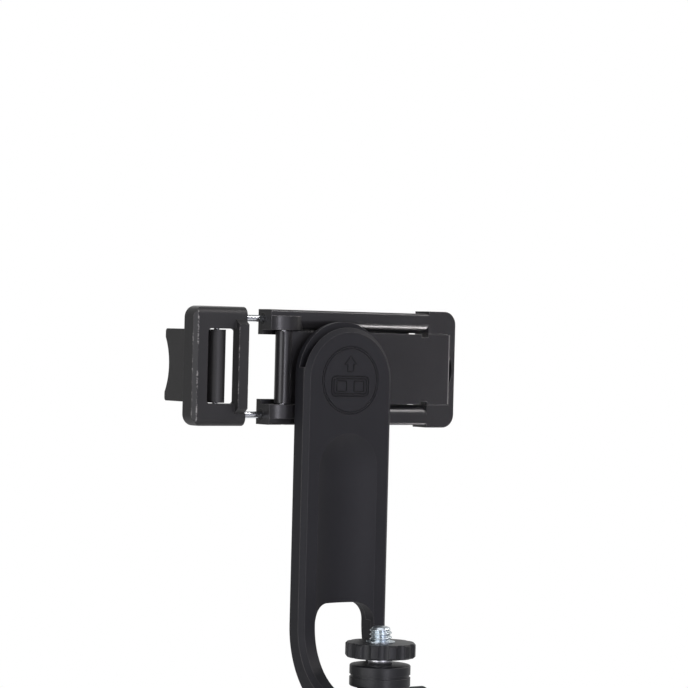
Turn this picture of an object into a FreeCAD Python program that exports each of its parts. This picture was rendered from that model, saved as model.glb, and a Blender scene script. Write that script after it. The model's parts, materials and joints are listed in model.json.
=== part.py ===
"""Phone gimbal stabilizer: a sprung phone clamp on a motor head, a folding arm and a handle.

Millimetres. The Z axis is the handle's axis and the origin is the mouth of the socket in the foot.
The clamp opens towards +Y, and the arm stands behind it with its scooped face towards -Y.
"""
import FreeCAD, Part
import math
import os
import re
import Sketcher

SIZES = {
    # Levels and reaches
    "pivot_height": 140.0,
    "head_rise": 92.7,
    "clamp_rise": 3.4,
    "arm_gap": 18.3,
    "running_gap": 0.3,
    "pin_play": 0.05,
    # Handle
    "handle_radius": 17.5,
    "handle_wall": 2.2,
    "grip_bottom": 42.0,
    "grip_shoulder": 12.5,
    "grip_thickness": 1.2,
    "grip_groove_width": 1.6,
    "grip_groove_depth": 0.5,
    "grip_groove_pitch": 7.0,
    "foot_radius": 23.0,
    "foot_height": 24.0,
    "foot_lip": 4.0,
    "foot_edge": 0.8,
    "plug_height": 8.0,
    "plug_play": 0.05,
    "socket_radius": 3.2,
    "socket_depth": 9.0,
    "insert_radius": 5.0,
    "carrier_width": 24.0,
    "carrier_thickness": 1.8,
    "carrier_offset": 4.2,
    "carrier_drop": 4.5,
    "battery_radius": 9.2,
    "battery_length": 65.0,
    "battery_play": 0.2,
    "board_width": 20.0,
    "board_thickness": 1.2,
    "board_length": 54.0,
    "switch_size": 6.0,
    "switch_height": 3.6,
    "button_drop": 8.0,
    "button_radius": 4.0,
    "button_proud": 0.6,
    "button_travel": 0.6,
    "button_flange": 1.0,
    "button_flange_thickness": 1.4,
    # Pivot and column
    "stem_radius": 6.4,
    "flange_radius": 10.0,
    "flange_thickness": 3.0,
    "pivot_pin_radius": 2.5,
    "pivot_pin_inset": 1.4,
    "eye_radius": 5.0,
    "eye_cap_radius": 3.5,
    "eye_cap_thickness": 1.2,
    "platform_bottom": 5.9,
    "platform_radius": 8.75,
    "platform_lower": 2.6,
    "platform_groove": 0.9,
    "platform_groove_depth": 0.35,
    "platform_upper": 2.7,
    "platform_edge": 0.5,
    "screw_radius": 3.175,
    "shank_radius": 2.9,
    "shoulder_radius": 3.45,
    "shoulder_height": 2.3,
    "screw_top": 22.9,
    "screw_chamfer": 0.6,
    "knob_bottom": 14.2,
    "knob_height": 4.2,
    "knob_radius": 10.1,
    "knob_edge": 0.45,
    "shoulder_recess": 1.2,
    "flute_radius": 2.6,
    "flute_depth": 0.75,
    "flute_count": 12,
    "insert_wall": 0.55,
    "insert_flange": 0.35,
    "insert_flange_thickness": 0.3,
    # Arm
    "arm_width": 30.8,
    "cover_thickness": 1.5,
    "core_thickness": 4.9,
    "cover_bevel": 1.4,
    "core_edge": 0.8,
    "crown_rise": 1.6,
    "window_width": 20.8,
    "window_drop": 65.0,
    "window_corner": 5.5,
    "scoop_radius": 20.95,
    "scoop_drop": 25.7,
    "dish_width": 24.0,
    "dish_depth": 2.8,
    "dish_top": 14.5,
    "ring_outer": 10.0,
    "ring_inner": 9.4,
    "ring_line": 0.28,
    "ring_depth": 0.25,
    "slot_width": 2.5,
    "slot_depth": 2.2,
    "slot_start": 3.6,
    # Roll motor
    "bay_wall": 3.3,
    "motor_base_thickness": 0.8,
    "tube_radius": 4.0,
    "tube_length": 3.0,
    "bearing_radius": 3.0,
    "bearing_width": 1.3,
    "shaft_radius": 1.5,
    "stator_length": 2.4,
    "stator_slot_width": 2.2,
    "stator_slots": 9,
    "air_gap": 0.4,
    "magnet_thickness": 1.0,
    "bell_wall": 0.8,
    "bell_face": 1.0,
    "bell_boss_radius": 9.6,
    "plate_screw_circle": 4.8,
    "plate_screw_radius": 1.0,
    "plate_screw_head": 1.9,
    "plate_screw_head_height": 1.2,
    "plate_screw_length": 4.0,
    # Clamp frame and hinge plate
    "clamp_gap": 2.0,
    "frame_depth": 7.0,
    "frame_left": 22.5,
    "frame_right": 44.0,
    "frame_opening": 21.6,
    "frame_height": 33.5,
    "bar_round": 3.2,
    "bar_edge": 0.8,
    "lip_width": 1.4,
    "lip_thickness": 2.4,
    "end_start": 34.0,
    "end_step": 0.75,
    "end_corner": 4.0,
    "tab_right": 42.0,
    "tab_thickness": 1.3,
    "tab_seat_play": 0.2,
    "finger_notch_radius": 9.3,
    "finger_notch_rise": 0.9,
    "plate_thickness": 2.8,
    "plate_notch_width": 2.4,
    "plate_notch_depth": 0.9,
    "hinge_offset": 17.3,
    "hinge_depth": 1.3,
    "knuckle_radius": 3.0,
    "knuckle_height": 4.1,
    "knuckle_tail": 6.5,
    "barrel_radius": 2.4,
    "hinge_pin_radius": 1.0,
    "pad_thickness": 1.0,
    "pad_margin": 0.9,
    # Sliding jaw
    "jaw_left": 47.6,
    "jaw_right": 30.0,
    "jaw_step": 0.45,
    "jaw_thickness": 6.0,
    "jaw_corner": 3.4,
    "jaw_round": 2.4,
    "jaw_chamfer": 1.1,
    "jaw_window_left": 43.2,
    "jaw_window_right": 32.8,
    "jaw_window_corner": 1.2,
    "jaw_wall": 3.0,
    "rib_left": 33.9,
    "rib_right": 30.6,
    "rib_height": 27.2,
    "rib_proud": 2.0,
    "rib_bevel": 1.5,
    "rod_radius": 1.0,
    "rod_inset": 2.75,
    "rod_depth": 4.7,
    "rod_start": 45.0,
    "rod_end": 10.0,
    "chamber_radius": 1.75,
    "chamber_end": 22.0,
    "bush_length": 4.0,
    "stop_radius": 1.6,
    "stop_length": 2.0,
    # Folding hooks
    "moving_hook_offset": 38.4,
    "moving_hook_depth": 4.3,
    "moving_hook_root": 2.7,
    "moving_hook_step": 4.2,
    "moving_heel_inner": 1.6,
    "moving_heel_outer": 4.4,
    "fixed_hook_offset": 35.8,
    "fixed_hook_depth": 4.7,
    "fixed_hook_root": 2.2,
    "fixed_hook_step": 1.8,
    "fixed_heel_inner": -0.6,
    "fixed_heel_outer": 2.0,
    "moving_hook_height": 21.0,
    "fixed_hook_height": 17.6,
    "hook_web": 2.4,
    "hook_reach": 14.3,
    "hook_thickness": 2.4,
    "hook_notch": 2.2,
    "hook_notch_margin": 2.5,
    "hook_corner": 0.9,
    "hook_pin_radius": 0.8,
    "hook_pin_grip": 2.0,
    "hook_pin_clear": 0.5,
    "hook_pad_thickness": 2.8,
    "hook_pad_margin": 1.6,
}

# Levels and planes worked out from the sizes
HEAD = "(pivot_height + head_rise)"
CLAMP = "(pivot_height + head_rise + clamp_rise)"
HALF_ARM = "(arm_width / 2)"
COVER_FRONT = "(arm_gap + cover_thickness)"
ARM_FRONT = "(arm_gap + cover_thickness + core_thickness)"
BEND = "(arm_gap + cover_thickness / 2 + core_thickness / 2)"
BEND_LEVEL = f"(pivot_height + {BEND})"
DOME_LEVEL = f"(pivot_height - {BEND})"
HALF_WINDOW = "(window_width / 2)"
WINDOW_TOP = f"({HEAD} - window_drop)"
PLATE_REAR = f"({ARM_FRONT} + clamp_gap)"
FRAME_FRONT = f"({PLATE_REAR} + frame_depth)"
HALF_OPENING = "(frame_opening / 2)"
HALF_FRAME = "(frame_height / 2)"
HALF_END = f"({HALF_FRAME} + end_step)"
HINGE_Y = f"({PLATE_REAR} + hinge_depth)"
ROD_Y = f"({PLATE_REAR} + rod_depth)"
ROD_OFFSET = f"({HALF_FRAME} - rod_inset)"
MOVING_HOOK_Y = f"({PLATE_REAR} + moving_hook_depth)"
FIXED_HOOK_Y = f"({PLATE_REAR} + fixed_hook_depth)"
HOOK_PIN_HALF = {
    "moving": f"({ROD_OFFSET} - rod_radius - hook_pin_clear)",
    "fixed": "(fixed_hook_height / 2 + hook_pin_grip)",
}
HOOK_START = f"({PLATE_REAR} + frame_depth + running_gap)"
JAW_REAR = f"({FRAME_FRONT} - jaw_thickness)"
PLATFORM_BOTTOM = "(pivot_height + platform_bottom)"
PLATFORM_TOP = f"({PLATFORM_BOTTOM} + platform_lower + platform_groove + platform_upper)"
KNOB_BOTTOM = "(pivot_height + knob_bottom)"
KNOB_TOP = f"({KNOB_BOTTOM} + knob_height)"
INSERT_OUTER = "(screw_radius + 2 * pin_play + insert_wall)"
SHELL_INNER = "(handle_radius - handle_wall)"
PLUG_TOP = "(foot_height + plug_height)"
GRIP_TOP = f"({DOME_LEVEL} - grip_shoulder)"
BUTTON_LEVEL = f"({DOME_LEVEL} - button_drop)"
CARRIER_TOP = f"({DOME_LEVEL} - carrier_drop)"
MOTOR_REAR = f"({COVER_FRONT} + motor_base_thickness)"
MOTOR_BAY = f"({HALF_ARM} - bay_wall)"
STATOR_RADIUS = f"({MOTOR_BAY} - running_gap - bell_wall - magnet_thickness - air_gap)"
MAGNET_INNER = f"({STATOR_RADIUS} + air_gap)"
BELL_INNER = f"({MAGNET_INNER} + magnet_thickness)"
BELL_OUTER = f"({BELL_INNER} + bell_wall)"
BELL_FRONT = f"({ARM_FRONT} + running_gap)"

PLANES = {"XY": "XY_Plane", "XZ": "XZ_Plane", "YZ": "YZ_Plane"}
TURNS = {
    "x": FreeCAD.Rotation(FreeCAD.Vector(0, 1, 0), 90),
    "y": FreeCAD.Rotation(FreeCAD.Vector(1, 0, 0), -90),
    "z": FreeCAD.Rotation(),
}
FULL_TURN = 360
NEAR = 1e-4

doc = FreeCAD.newDocument("phone_gimbal")
sheet = doc.addObject("Spreadsheet::Sheet", "Dims")
for row, (alias, size) in enumerate(SIZES.items(), start=1):
    sheet.set(f"A{row}", alias)
    sheet.set(f"B{row}", str(size))
    sheet.setAlias(f"B{row}", alias)
doc.recompute()


def bound(expression):
    """The expression with the sheet's name before every alias."""
    def name(word):
        return f"Dims.{word.group()}" if word.group() in SIZES else word.group()
    return re.sub(r"[a-z_]+", name, expression)


def value(expression):
    """The number that an expression has now."""
    return float(sheet.evalExpression(bound(expression)))


# Drawing helpers
def new_body(label):
    """An empty body that is named after its piece."""
    return doc.addObject("PartDesign::Body", label)


def new_sketch(body, plane, offset="0"):
    """A sketch on one of the body's planes, moved along +X, +Y or +Z by the offset."""
    sketch = body.newObject("Sketcher::SketchObject", f"{body.Name}_sketch")
    support = [item for item in body.Origin.OriginFeatures if item.Role == PLANES[plane]]
    sketch.AttachmentSupport = [(support[0], "")]
    sketch.MapMode = "FlatFace"
    sign = "-" if plane == "XZ" else ""
    sketch.setExpression("AttachmentOffset.Base.z", bound(f"{sign}({offset})"))
    return sketch


def pin_point(sketch, edge, end, x, y):
    """Hold a point of an edge at two expressions."""
    if x == "0":
        sketch.addConstraint(Sketcher.Constraint("PointOnObject", edge, end, -2))
    else:
        index = sketch.addConstraint(Sketcher.Constraint("DistanceX", -1, 1, edge, end, value(x)))
        sketch.setExpression(f"Constraints[{index}]", bound(x))
    if y == "0":
        sketch.addConstraint(Sketcher.Constraint("PointOnObject", edge, end, -1))
    else:
        index = sketch.addConstraint(Sketcher.Constraint("DistanceY", -1, 1, edge, end, value(y)))
        sketch.setExpression(f"Constraints[{index}]", bound(y))


def arc_between(start, end, radius):
    """An arc from start to end that turns left for a positive radius and right for a negative one."""
    chord = end - start
    left = FreeCAD.Vector(-chord.y, chord.x, 0).normalize()
    height = math.sqrt(max(radius ** 2 - (chord.Length / 2) ** 2, 0.0))
    centre = (start + end) / 2 + left * math.copysign(height, radius)
    circle = Part.Circle(centre, FreeCAD.Vector(0, 0, 1), abs(radius))
    first, last = (start, end) if radius > 0 else (end, start)
    angles = [math.atan2(spot.y - centre.y, spot.x - centre.x) for spot in (first, last)]
    if angles[1] < angles[0]:
        angles[1] += 2 * math.pi
    return Part.ArcOfCircle(circle, angles[0], angles[1])


def draw_outline(sketch, corners):
    """A closed outline. A corner is (x, y) before a straight edge or (x, y, radius) before an arc."""
    first_edge = sketch.GeometryCount
    spots = [FreeCAD.Vector(value(corner[0]), value(corner[1]), 0) for corner in corners]
    ends = []
    for index, corner in enumerate(corners):
        start, end = spots[index], spots[(index + 1) % len(spots)]
        radius = value(corner[2]) if len(corner) > 2 else 0.0
        edge = arc_between(start, end, radius) if radius else Part.LineSegment(start, end)
        sketch.addGeometry(edge, False)
        ends.append((2, 1) if radius < 0 else (1, 2))
    for index, corner in enumerate(corners):
        edge, after = first_edge + index, first_edge + (index + 1) % len(corners)
        next_start = ends[(index + 1) % len(corners)][0]
        sketch.addConstraint(Sketcher.Constraint("Coincident", edge, ends[index][1], after, next_start))
    for index, corner in enumerate(corners):
        edge = first_edge + index
        pin_point(sketch, edge, ends[index][0], corner[0], corner[1])
        if len(corner) > 2:
            radius = corner[2].lstrip("-")
            held = sketch.addConstraint(Sketcher.Constraint("Radius", edge, value(radius)))
            sketch.setExpression(f"Constraints[{held}]", bound(radius))


def draw_circle(sketch, x, y, radius):
    """A circle whose centre and radius follow expressions."""
    centre = FreeCAD.Vector(value(x), value(y), 0)
    edge = sketch.addGeometry(Part.Circle(centre, FreeCAD.Vector(0, 0, 1), value(radius)), False)
    pin_point(sketch, edge, 3, x, y)
    held = sketch.addConstraint(Sketcher.Constraint("Radius", edge, value(radius)))
    sketch.setExpression(f"Constraints[{held}]", bound(radius))


def rectangle(x0, y0, x1, y1):
    """Corners of a rectangle."""
    return [(x0, y0), (x1, y0), (x1, y1), (x0, y1)]


def round_rectangle(x0, y0, x1, y1, radius):
    """Corners of a rectangle whose corners are rounded."""
    return [
        (f"{x0} + {radius}", y0),
        (f"{x1} - {radius}", y0, radius),
        (x1, f"{y0} + {radius}"),
        (x1, f"{y1} - {radius}", radius),
        (f"{x1} - {radius}", y1),
        (f"{x0} + {radius}", y1, radius),
        (x0, f"{y1} - {radius}"),
        (x0, f"{y0} + {radius}", radius),
    ]


def feature(body, kind, sketch):
    """A sketch feature at the end of a body's tree."""
    item = body.newObject(f"PartDesign::{kind}", f"{body.Name}_{kind.lower()}")
    item.Profile = sketch
    return item


def pad(body, sketch, length, both=False, towards_plus=True):
    """Add material; a sketch on XZ faces -Y, so it is reversed to grow towards +Y."""
    item = feature(body, "Pad", sketch)
    item.setExpression("Length", bound(length))
    normal_is_plus = "XZ" not in sketch.AttachmentSupport[0][0].Role
    item.Reversed = towards_plus != normal_is_plus
    if both:
        item.SideType = "Symmetric"
    doc.recompute()
    return item


def pocket(body, sketch, depth=None, towards_plus=True):
    """Cut along the sketch's axis, to a depth or right through both ways."""
    item = feature(body, "Pocket", sketch)
    if depth is None:
        item.Type = "ThroughAll"
        item.SideType = "Symmetric"
    else:
        item.setExpression("Length", bound(depth))
        normal_is_plus = "XZ" not in sketch.AttachmentSupport[0][0].Role
        item.Reversed = towards_plus == normal_is_plus
    doc.recompute()
    return item


def turned(label, corners):
    """A piece turned about Z from a profile of (radius, level) corners."""
    body = new_body(label)
    sketch = new_sketch(body, "XZ")
    draw_outline(sketch, corners)
    item = feature(body, "Revolution", sketch)
    item.ReferenceAxis = (sketch, ["V_Axis"])
    item.Angle = FULL_TURN
    doc.recompute()
    return body


def groove(body, corners):
    """Cut a turned profile out of a body."""
    sketch = new_sketch(body, "XZ")
    draw_outline(sketch, corners)
    item = feature(body, "Groove", sketch)
    item.ReferenceAxis = (sketch, ["V_Axis"])
    item.Angle = FULL_TURN
    doc.recompute()
    return item


def dress(body, kind, size, chosen):
    """Fillet or chamfer the edges of a body that a test chooses by their middle point."""
    doc.recompute()
    base = body.Tip
    names = []
    for number, edge in enumerate(base.Shape.Edges, start=1):
        middle = edge.valueAt((edge.FirstParameter + edge.LastParameter) / 2)
        if chosen(edge, middle):
            names.append(f"Edge{number}")
    item = body.newObject(f"PartDesign::{kind}", f"{body.Name}_{kind.lower()}")
    item.Base = (base, names)
    item.setExpression("Radius" if kind == "Fillet" else "Size", bound(size))
    body.Tip = item
    doc.recompute()
    return item


def polar(body, item, count, about="Z_Axis"):
    """Repeat the last cut of a body about one of its axes."""
    pattern = body.newObject("PartDesign::PolarPattern", f"{body.Name}_pattern")
    axis = [entry for entry in body.Origin.OriginFeatures if entry.Role == about]
    pattern.Originals = [item]
    pattern.Axis = (axis[0], [""])
    pattern.Angle = FULL_TURN
    pattern.setExpression("Occurrences", bound(count))
    body.Tip = pattern
    doc.recompute()


def place(item, spot, axis="z"):
    """Turn an object's own Z to an axis and hold it at three expressions."""
    item.Placement = FreeCAD.Placement(FreeCAD.Vector(), TURNS[axis])
    for letter, expression in zip("xyz", spot):
        item.setExpression(f"Placement.Base.{letter}", bound(expression))


def cylinder(label, radius, length, spot, axis="z"):
    """A round bar that starts at a spot and runs along +X, +Y or +Z."""
    item = doc.addObject("Part::Cylinder", label)
    item.setExpression("Radius", bound(radius))
    item.setExpression("Height", bound(length))
    place(item, spot, axis)
    return item


def box(label, size, corner):
    """A block from its lowest corner."""
    item = doc.addObject("Part::Box", label)
    for side, expression in zip(("Length", "Width", "Height"), size):
        item.setExpression(side, bound(expression))
    place(item, corner)
    return item


def combine(kind, label, first, second):
    """A Part boolean of two objects."""
    item = doc.addObject(f"Part::{kind}", label)
    item.Base = first
    item.Tool = second
    return item


def ring(label, outer, inner, length, spot, axis="y"):
    """A round bar with a round bore."""
    bar = cylinder(f"{label}_bar", outer, length, spot, axis)
    bore = cylinder(f"{label}_bore", inner, length, spot, axis)
    return combine("Cut", label, bar, bore)


def together(label, items):
    """Separate solids kept as one piece's group."""
    item = doc.addObject("Part::Compound", label)
    item.Links = items
    return item


# Handle
def handle_shell():
    """Domed tube that holds the battery and the board, with a recess for the grip."""
    hole = "(stem_radius + pin_play)"
    recess = "(handle_radius - grip_thickness)"
    body = turned("handle_shell", [
        ("handle_radius", "foot_height"),
        ("handle_radius", "grip_bottom"),
        (recess, "grip_bottom"),
        (recess, GRIP_TOP),
        ("handle_radius", GRIP_TOP),
        ("handle_radius", DOME_LEVEL, "handle_radius"),
        (hole, f"{DOME_LEVEL} + sqrt(handle_radius ^ 2 - {hole} ^ 2)"),
        (hole, f"{DOME_LEVEL} + sqrt({SHELL_INNER} ^ 2 - {hole} ^ 2)", f"-{SHELL_INNER}"),
        (SHELL_INNER, DOME_LEVEL),
        (SHELL_INNER, "foot_height"),
    ])
    sketch = new_sketch(body, "XZ")
    draw_circle(sketch, "0", BUTTON_LEVEL, "button_radius + running_gap / 2")
    pocket(body, sketch, "handle_radius * 2")
    return body


def grip_sleeve():
    """Rubber sleeve in the shell's recess, with finger grooves round it."""
    inner = "(handle_radius - grip_thickness)"
    body = turned("grip_sleeve", rectangle(inner, "grip_bottom", "handle_radius", GRIP_TOP))
    first = "(grip_bottom + grip_groove_pitch)"
    cut = groove(body, rectangle("handle_radius - grip_groove_depth", f"{first} - grip_groove_width",
                                 "handle_radius + grip_thickness", first))
    rows = body.newObject("PartDesign::LinearPattern", "grip_rows")
    axis = [entry for entry in body.Origin.OriginFeatures if entry.Role == "Z_Axis"]
    rows.Originals = [cut]
    rows.Direction = (axis[0], [""])
    count = f"(floor(({GRIP_TOP} - grip_bottom) / grip_groove_pitch) - 1)"
    rows.setExpression("Occurrences", bound(count))
    rows.setExpression("Length", bound(f"({count} - 1) * grip_groove_pitch"))
    body.Tip = rows
    return body


def foot_cap():
    """Flared foot that plugs into the shell and holds the threaded insert."""
    plug = f"({SHELL_INNER} - plug_play)"
    rise = "(foot_height - foot_lip)"
    flare = "(foot_radius - handle_radius)"
    return turned("foot_cap", [
        ("insert_radius", "0"),
        ("foot_radius - foot_edge", "0"),
        ("foot_radius", "foot_edge"),
        ("foot_radius", "foot_lip", f"-(({rise} ^ 2 + {flare} ^ 2) / (2 * {flare}))"),
        ("handle_radius", "foot_height"),
        (plug, "foot_height"),
        (plug, PLUG_TOP),
        ("0", PLUG_TOP),
        ("0", "socket_depth"),
        ("insert_radius", "socket_depth"),
    ])


def socket_insert():
    """Threaded insert in the foot."""
    return ring("socket_insert", "insert_radius", "socket_radius", "socket_depth", ("0", "0", "0"), "z")


def inner_carrier():
    """Upright plate on the foot's plug, between the battery and the board."""
    size = ("carrier_width", "carrier_thickness", f"{CARRIER_TOP} - {PLUG_TOP}")
    return box("inner_carrier", size, ("-carrier_width / 2", "carrier_offset", PLUG_TOP))


def battery():
    """Round cell that stands on the foot's plug behind the carrier."""
    spot = ("0", "carrier_offset - battery_play - battery_radius", PLUG_TOP)
    return cylinder("battery", "battery_radius", "battery_length", spot)


def control_board():
    """Board on the carrier's front, with the switch under the button."""
    front = "carrier_offset + carrier_thickness"
    board = box("board_sheet", ("board_width", "board_thickness", "board_length"),
                ("-board_width / 2", front, f"{CARRIER_TOP} - board_length"))
    switch = box("board_switch", ("switch_size", "switch_height", "switch_size"),
                 ("-switch_size / 2", f"{front} + board_thickness", f"{BUTTON_LEVEL} - switch_size / 2"))
    return combine("Fuse", "control_board", board, switch)


def power_button():
    """Push button in the shell's front, with a collar that keeps it in."""
    rear = "(carrier_offset + carrier_thickness + board_thickness + switch_height + button_travel + pin_play)"
    spot = ("0", rear, BUTTON_LEVEL)
    stalk = cylinder("button_stalk", "button_radius", f"handle_radius + button_proud - {rear}", spot, "y")
    collar = cylinder("button_collar", "button_radius + button_flange", "button_flange_thickness", spot, "y")
    return combine("Fuse", "power_button", stalk, collar)


# Pivot and column
def pivot_hub():
    """Stem through the dome, with the barrel that the arm's legs turn on."""
    flange_top = f"({DOME_LEVEL} + sqrt(({SHELL_INNER} - pin_play) ^ 2 - flange_radius ^ 2))"
    body = turned("pivot_hub", [
        ("0", f"{flange_top} - flange_thickness"),
        ("flange_radius", f"{flange_top} - flange_thickness"),
        ("flange_radius", flange_top),
        ("stem_radius", flange_top),
        ("stem_radius", PLATFORM_BOTTOM),
        ("0", PLATFORM_BOTTOM),
    ])
    sketch = new_sketch(body, "YZ")
    draw_circle(sketch, "0", "pivot_height", "eye_radius")
    pad(body, sketch, "window_width - 2 * running_gap", both=True)
    sketch = new_sketch(body, "YZ")
    draw_circle(sketch, "0", "pivot_height", "pivot_pin_radius")
    pocket(body, sketch)
    return body


def pivot_pin():
    """Axle through the hub and both legs."""
    half = f"({HALF_ARM} - pivot_pin_inset)"
    return cylinder("pivot_pin", "pivot_pin_radius", f"2 * {half}", (f"-{half}", "0", "pivot_height"), "x")


def column_platform():
    """Two round steps with a groove between them, under the lock knob."""
    waist = "(platform_radius - platform_groove_depth)"
    low = f"({PLATFORM_BOTTOM} + platform_lower)"
    high = f"({low} + platform_groove)"
    return turned("column_platform", [
        ("shank_radius", PLATFORM_BOTTOM),
        ("platform_radius - platform_edge", PLATFORM_BOTTOM, "platform_edge"),
        ("platform_radius", f"{PLATFORM_BOTTOM} + platform_edge"),
        ("platform_radius", low),
        (waist, low),
        (waist, high),
        ("platform_radius", high),
        ("platform_radius", f"{PLATFORM_TOP} - platform_edge", "platform_edge"),
        ("platform_radius - platform_edge", PLATFORM_TOP),
        ("shank_radius", PLATFORM_TOP),
    ])


def camera_screw():
    """Quarter-inch screw with a shoulder on the platform and a free end above the knob."""
    top = "(pivot_height + screw_top)"
    start = f"({KNOB_TOP} + insert_flange_thickness + running_gap)"
    return turned("camera_screw", [
        ("0", PLATFORM_BOTTOM),
        ("shank_radius", PLATFORM_BOTTOM),
        ("shank_radius", PLATFORM_TOP),
        ("shoulder_radius", PLATFORM_TOP),
        ("shoulder_radius", f"{PLATFORM_TOP} + shoulder_height"),
        ("shank_radius", f"{PLATFORM_TOP} + shoulder_height"),
        ("shank_radius", start),
        ("screw_radius", start),
        ("screw_radius", f"{top} - screw_chamfer"),
        ("screw_radius - screw_chamfer", top),
        ("0", top),
    ])


def lock_knob():
    """Fluted nut that locks what is screwed on to the column."""
    body = turned("lock_knob", [
        (INSERT_OUTER, KNOB_BOTTOM),
        ("knob_radius - knob_edge", KNOB_BOTTOM),
        ("knob_radius", f"{KNOB_BOTTOM} + knob_edge"),
        ("knob_radius", f"{KNOB_TOP} - knob_edge"),
        ("knob_radius - knob_edge", KNOB_TOP),
        (INSERT_OUTER, KNOB_TOP),
    ])
    sketch = new_sketch(body, "XY", KNOB_BOTTOM)
    draw_circle(sketch, "knob_radius - flute_depth + flute_radius", "0", "flute_radius")
    polar(body, pocket(body, sketch, "knob_height"), "flute_count")
    return body


def knob_insert():
    """Threaded metal insert in the knob, above the screw's shoulder, with a flange on its top."""
    low = f"({KNOB_BOTTOM} + shoulder_recess)"
    bore = "(screw_radius + 2 * pin_play)"
    return turned("knob_insert", [
        (bore, low),
        (INSERT_OUTER, low),
        (INSERT_OUTER, KNOB_TOP),
        (f"{INSERT_OUTER} + insert_flange", KNOB_TOP),
        (f"{INSERT_OUTER} + insert_flange", f"{KNOB_TOP} + insert_flange_thickness"),
        (bore, f"{KNOB_TOP} + insert_flange_thickness"),
    ])


# Arm
def arm_layer(label, rear, front, crown):
    """One layer of the arm: a straight strip with a round top that bends down to the pivot."""
    body = new_body(label)
    top = f"({HEAD} + {crown} + {HALF_ARM})"
    sketch = new_sketch(body, "YZ")
    draw_outline(sketch, [
        (rear, top),
        (rear, BEND_LEVEL, f"-{rear}"),
        ("0", f"{BEND_LEVEL} - {rear}"),
        ("0", f"{BEND_LEVEL} - {front}", front),
        (front, BEND_LEVEL),
        (front, top),
    ])
    pad(body, sketch, "arm_width", both=True)
    for side in ("", "-"):
        sketch = new_sketch(body, "XZ")
        outside = f"{side}arm_width"
        draw_outline(sketch, [
            (f"{side}{HALF_ARM}", f"{HEAD} + {crown}", HALF_ARM if side == "" else f"-{HALF_ARM}"),
            ("0", top),
            ("0", f"{top} + crown_rise"),
            (outside, f"{top} + crown_rise"),
            (outside, f"{HEAD} + {crown}"),
        ])
        pocket(body, sketch)
    return body


def cut_window(body):
    """Open the space between the legs, which the column passes through as the arm folds."""
    sketch = new_sketch(body, "XZ")
    low = "pivot_height - arm_width"
    shoulder = f"{WINDOW_TOP} - window_corner"
    draw_outline(sketch, [
        (f"-{HALF_WINDOW}", low),
        (HALF_WINDOW, low),
        (HALF_WINDOW, shoulder, "window_corner"),
        (f"{HALF_WINDOW} - window_corner", WINDOW_TOP),
        (f"-{HALF_WINDOW} + window_corner", WINDOW_TOP, "window_corner"),
        (f"-{HALF_WINDOW}", shoulder),
    ])
    pocket(body, sketch)


def cross_hole(body, radius):
    """A hole along X at the pivot."""
    sketch = new_sketch(body, "YZ")
    draw_circle(sketch, "0", "pivot_height", radius)
    pocket(body, sketch)


def dish_outline():
    """Plan of the cover's dished middle, from under the head to the window's shoulders."""
    low = f"{WINDOW_TOP} - window_corner"
    return rectangle("-dish_width / 2", low, "dish_width / 2", f"{HEAD} - dish_top")


def arm_core():
    """Front of the arm: motor bay, legs and the eyes that turn on the pivot pin."""
    body = arm_layer("arm_core", COVER_FRONT, ARM_FRONT, "crown_rise")
    front = value(ARM_FRONT)
    level = value(BEND_LEVEL)
    dress(body, "Fillet", "core_edge", lambda edge, spot: abs(spot.y - front) < NEAR and spot.z > level)
    sketch = new_sketch(body, "YZ")
    draw_circle(sketch, "0", "pivot_height", "eye_radius")
    pad(body, sketch, "arm_width", both=True)
    cut_window(body)
    cross_hole(body, "pivot_pin_radius + pin_play")
    for side in ("", "-"):
        sketch = new_sketch(body, "YZ", f"{side}({HALF_ARM} - eye_cap_thickness)")
        draw_circle(sketch, "0", "pivot_height", "eye_cap_radius")
        pocket(body, sketch, "arm_width", towards_plus=(side == ""))
    sketch = new_sketch(body, "XZ", COVER_FRONT)
    draw_circle(sketch, "0", HEAD, MOTOR_BAY)
    pocket(body, sketch, "core_thickness * 2")
    sketch = new_sketch(body, "XZ", COVER_FRONT)
    draw_outline(sketch, dish_outline())
    pocket(body, sketch, "dish_depth")
    cut_head_slot(body)
    return body


def cut_head_slot(body):
    """Open slot round the top of the head, between the two layers."""
    inner = f"({HALF_ARM} - slot_depth)"
    foot = f"sqrt({inner} ^ 2 - slot_start ^ 2)"
    low = f"{HEAD} + slot_start"
    high = f"{HEAD} + arm_width"
    sketch = new_sketch(body, "XZ", COVER_FRONT)
    draw_outline(sketch, [
        (f"-{foot}", low, f"-{inner}"),
        (foot, low),
        ("arm_width", low),
        ("arm_width", high),
        ("-arm_width", high),
        ("-arm_width", low),
    ])
    pocket(body, sketch, "slot_width")


def arm_cover():
    """Rear of the arm: bevelled rim, dished scoop and a double ring round the head."""
    body = arm_layer("arm_cover", "arm_gap", COVER_FRONT, "0")
    gap = value("arm_gap")
    level = value(BEND_LEVEL)

    def on_rear(edge, spot):
        """The outer edges of the face that looks towards -Y or up from the bend."""
        if spot.z > level:
            return abs(spot.y - gap) < NEAR
        return abs(math.hypot(spot.y, spot.z - level) - gap) < NEAR and spot.y > NEAR
    dress(body, "Chamfer", "cover_bevel", on_rear)
    sketch = new_sketch(body, "XZ", COVER_FRONT)
    draw_outline(sketch, dish_outline())
    pad(body, sketch, "dish_depth")
    cut_window(body)
    cross_hole(body, "eye_radius")
    scoop_level = f"({HEAD} - scoop_drop)"
    groove(body, [
        ("0", BEND_LEVEL),
        ("scoop_radius", BEND_LEVEL),
        ("scoop_radius", scoop_level, "scoop_radius"),
        ("0", f"{scoop_level} + scoop_radius"),
    ])
    for radius in ("ring_outer", "ring_inner"):
        sketch = new_sketch(body, "XZ", "arm_gap")
        draw_circle(sketch, "0", HEAD, radius)
        draw_circle(sketch, "0", HEAD, f"{radius} - ring_line")
        pocket(body, sketch, "ring_depth")
    return body


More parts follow.
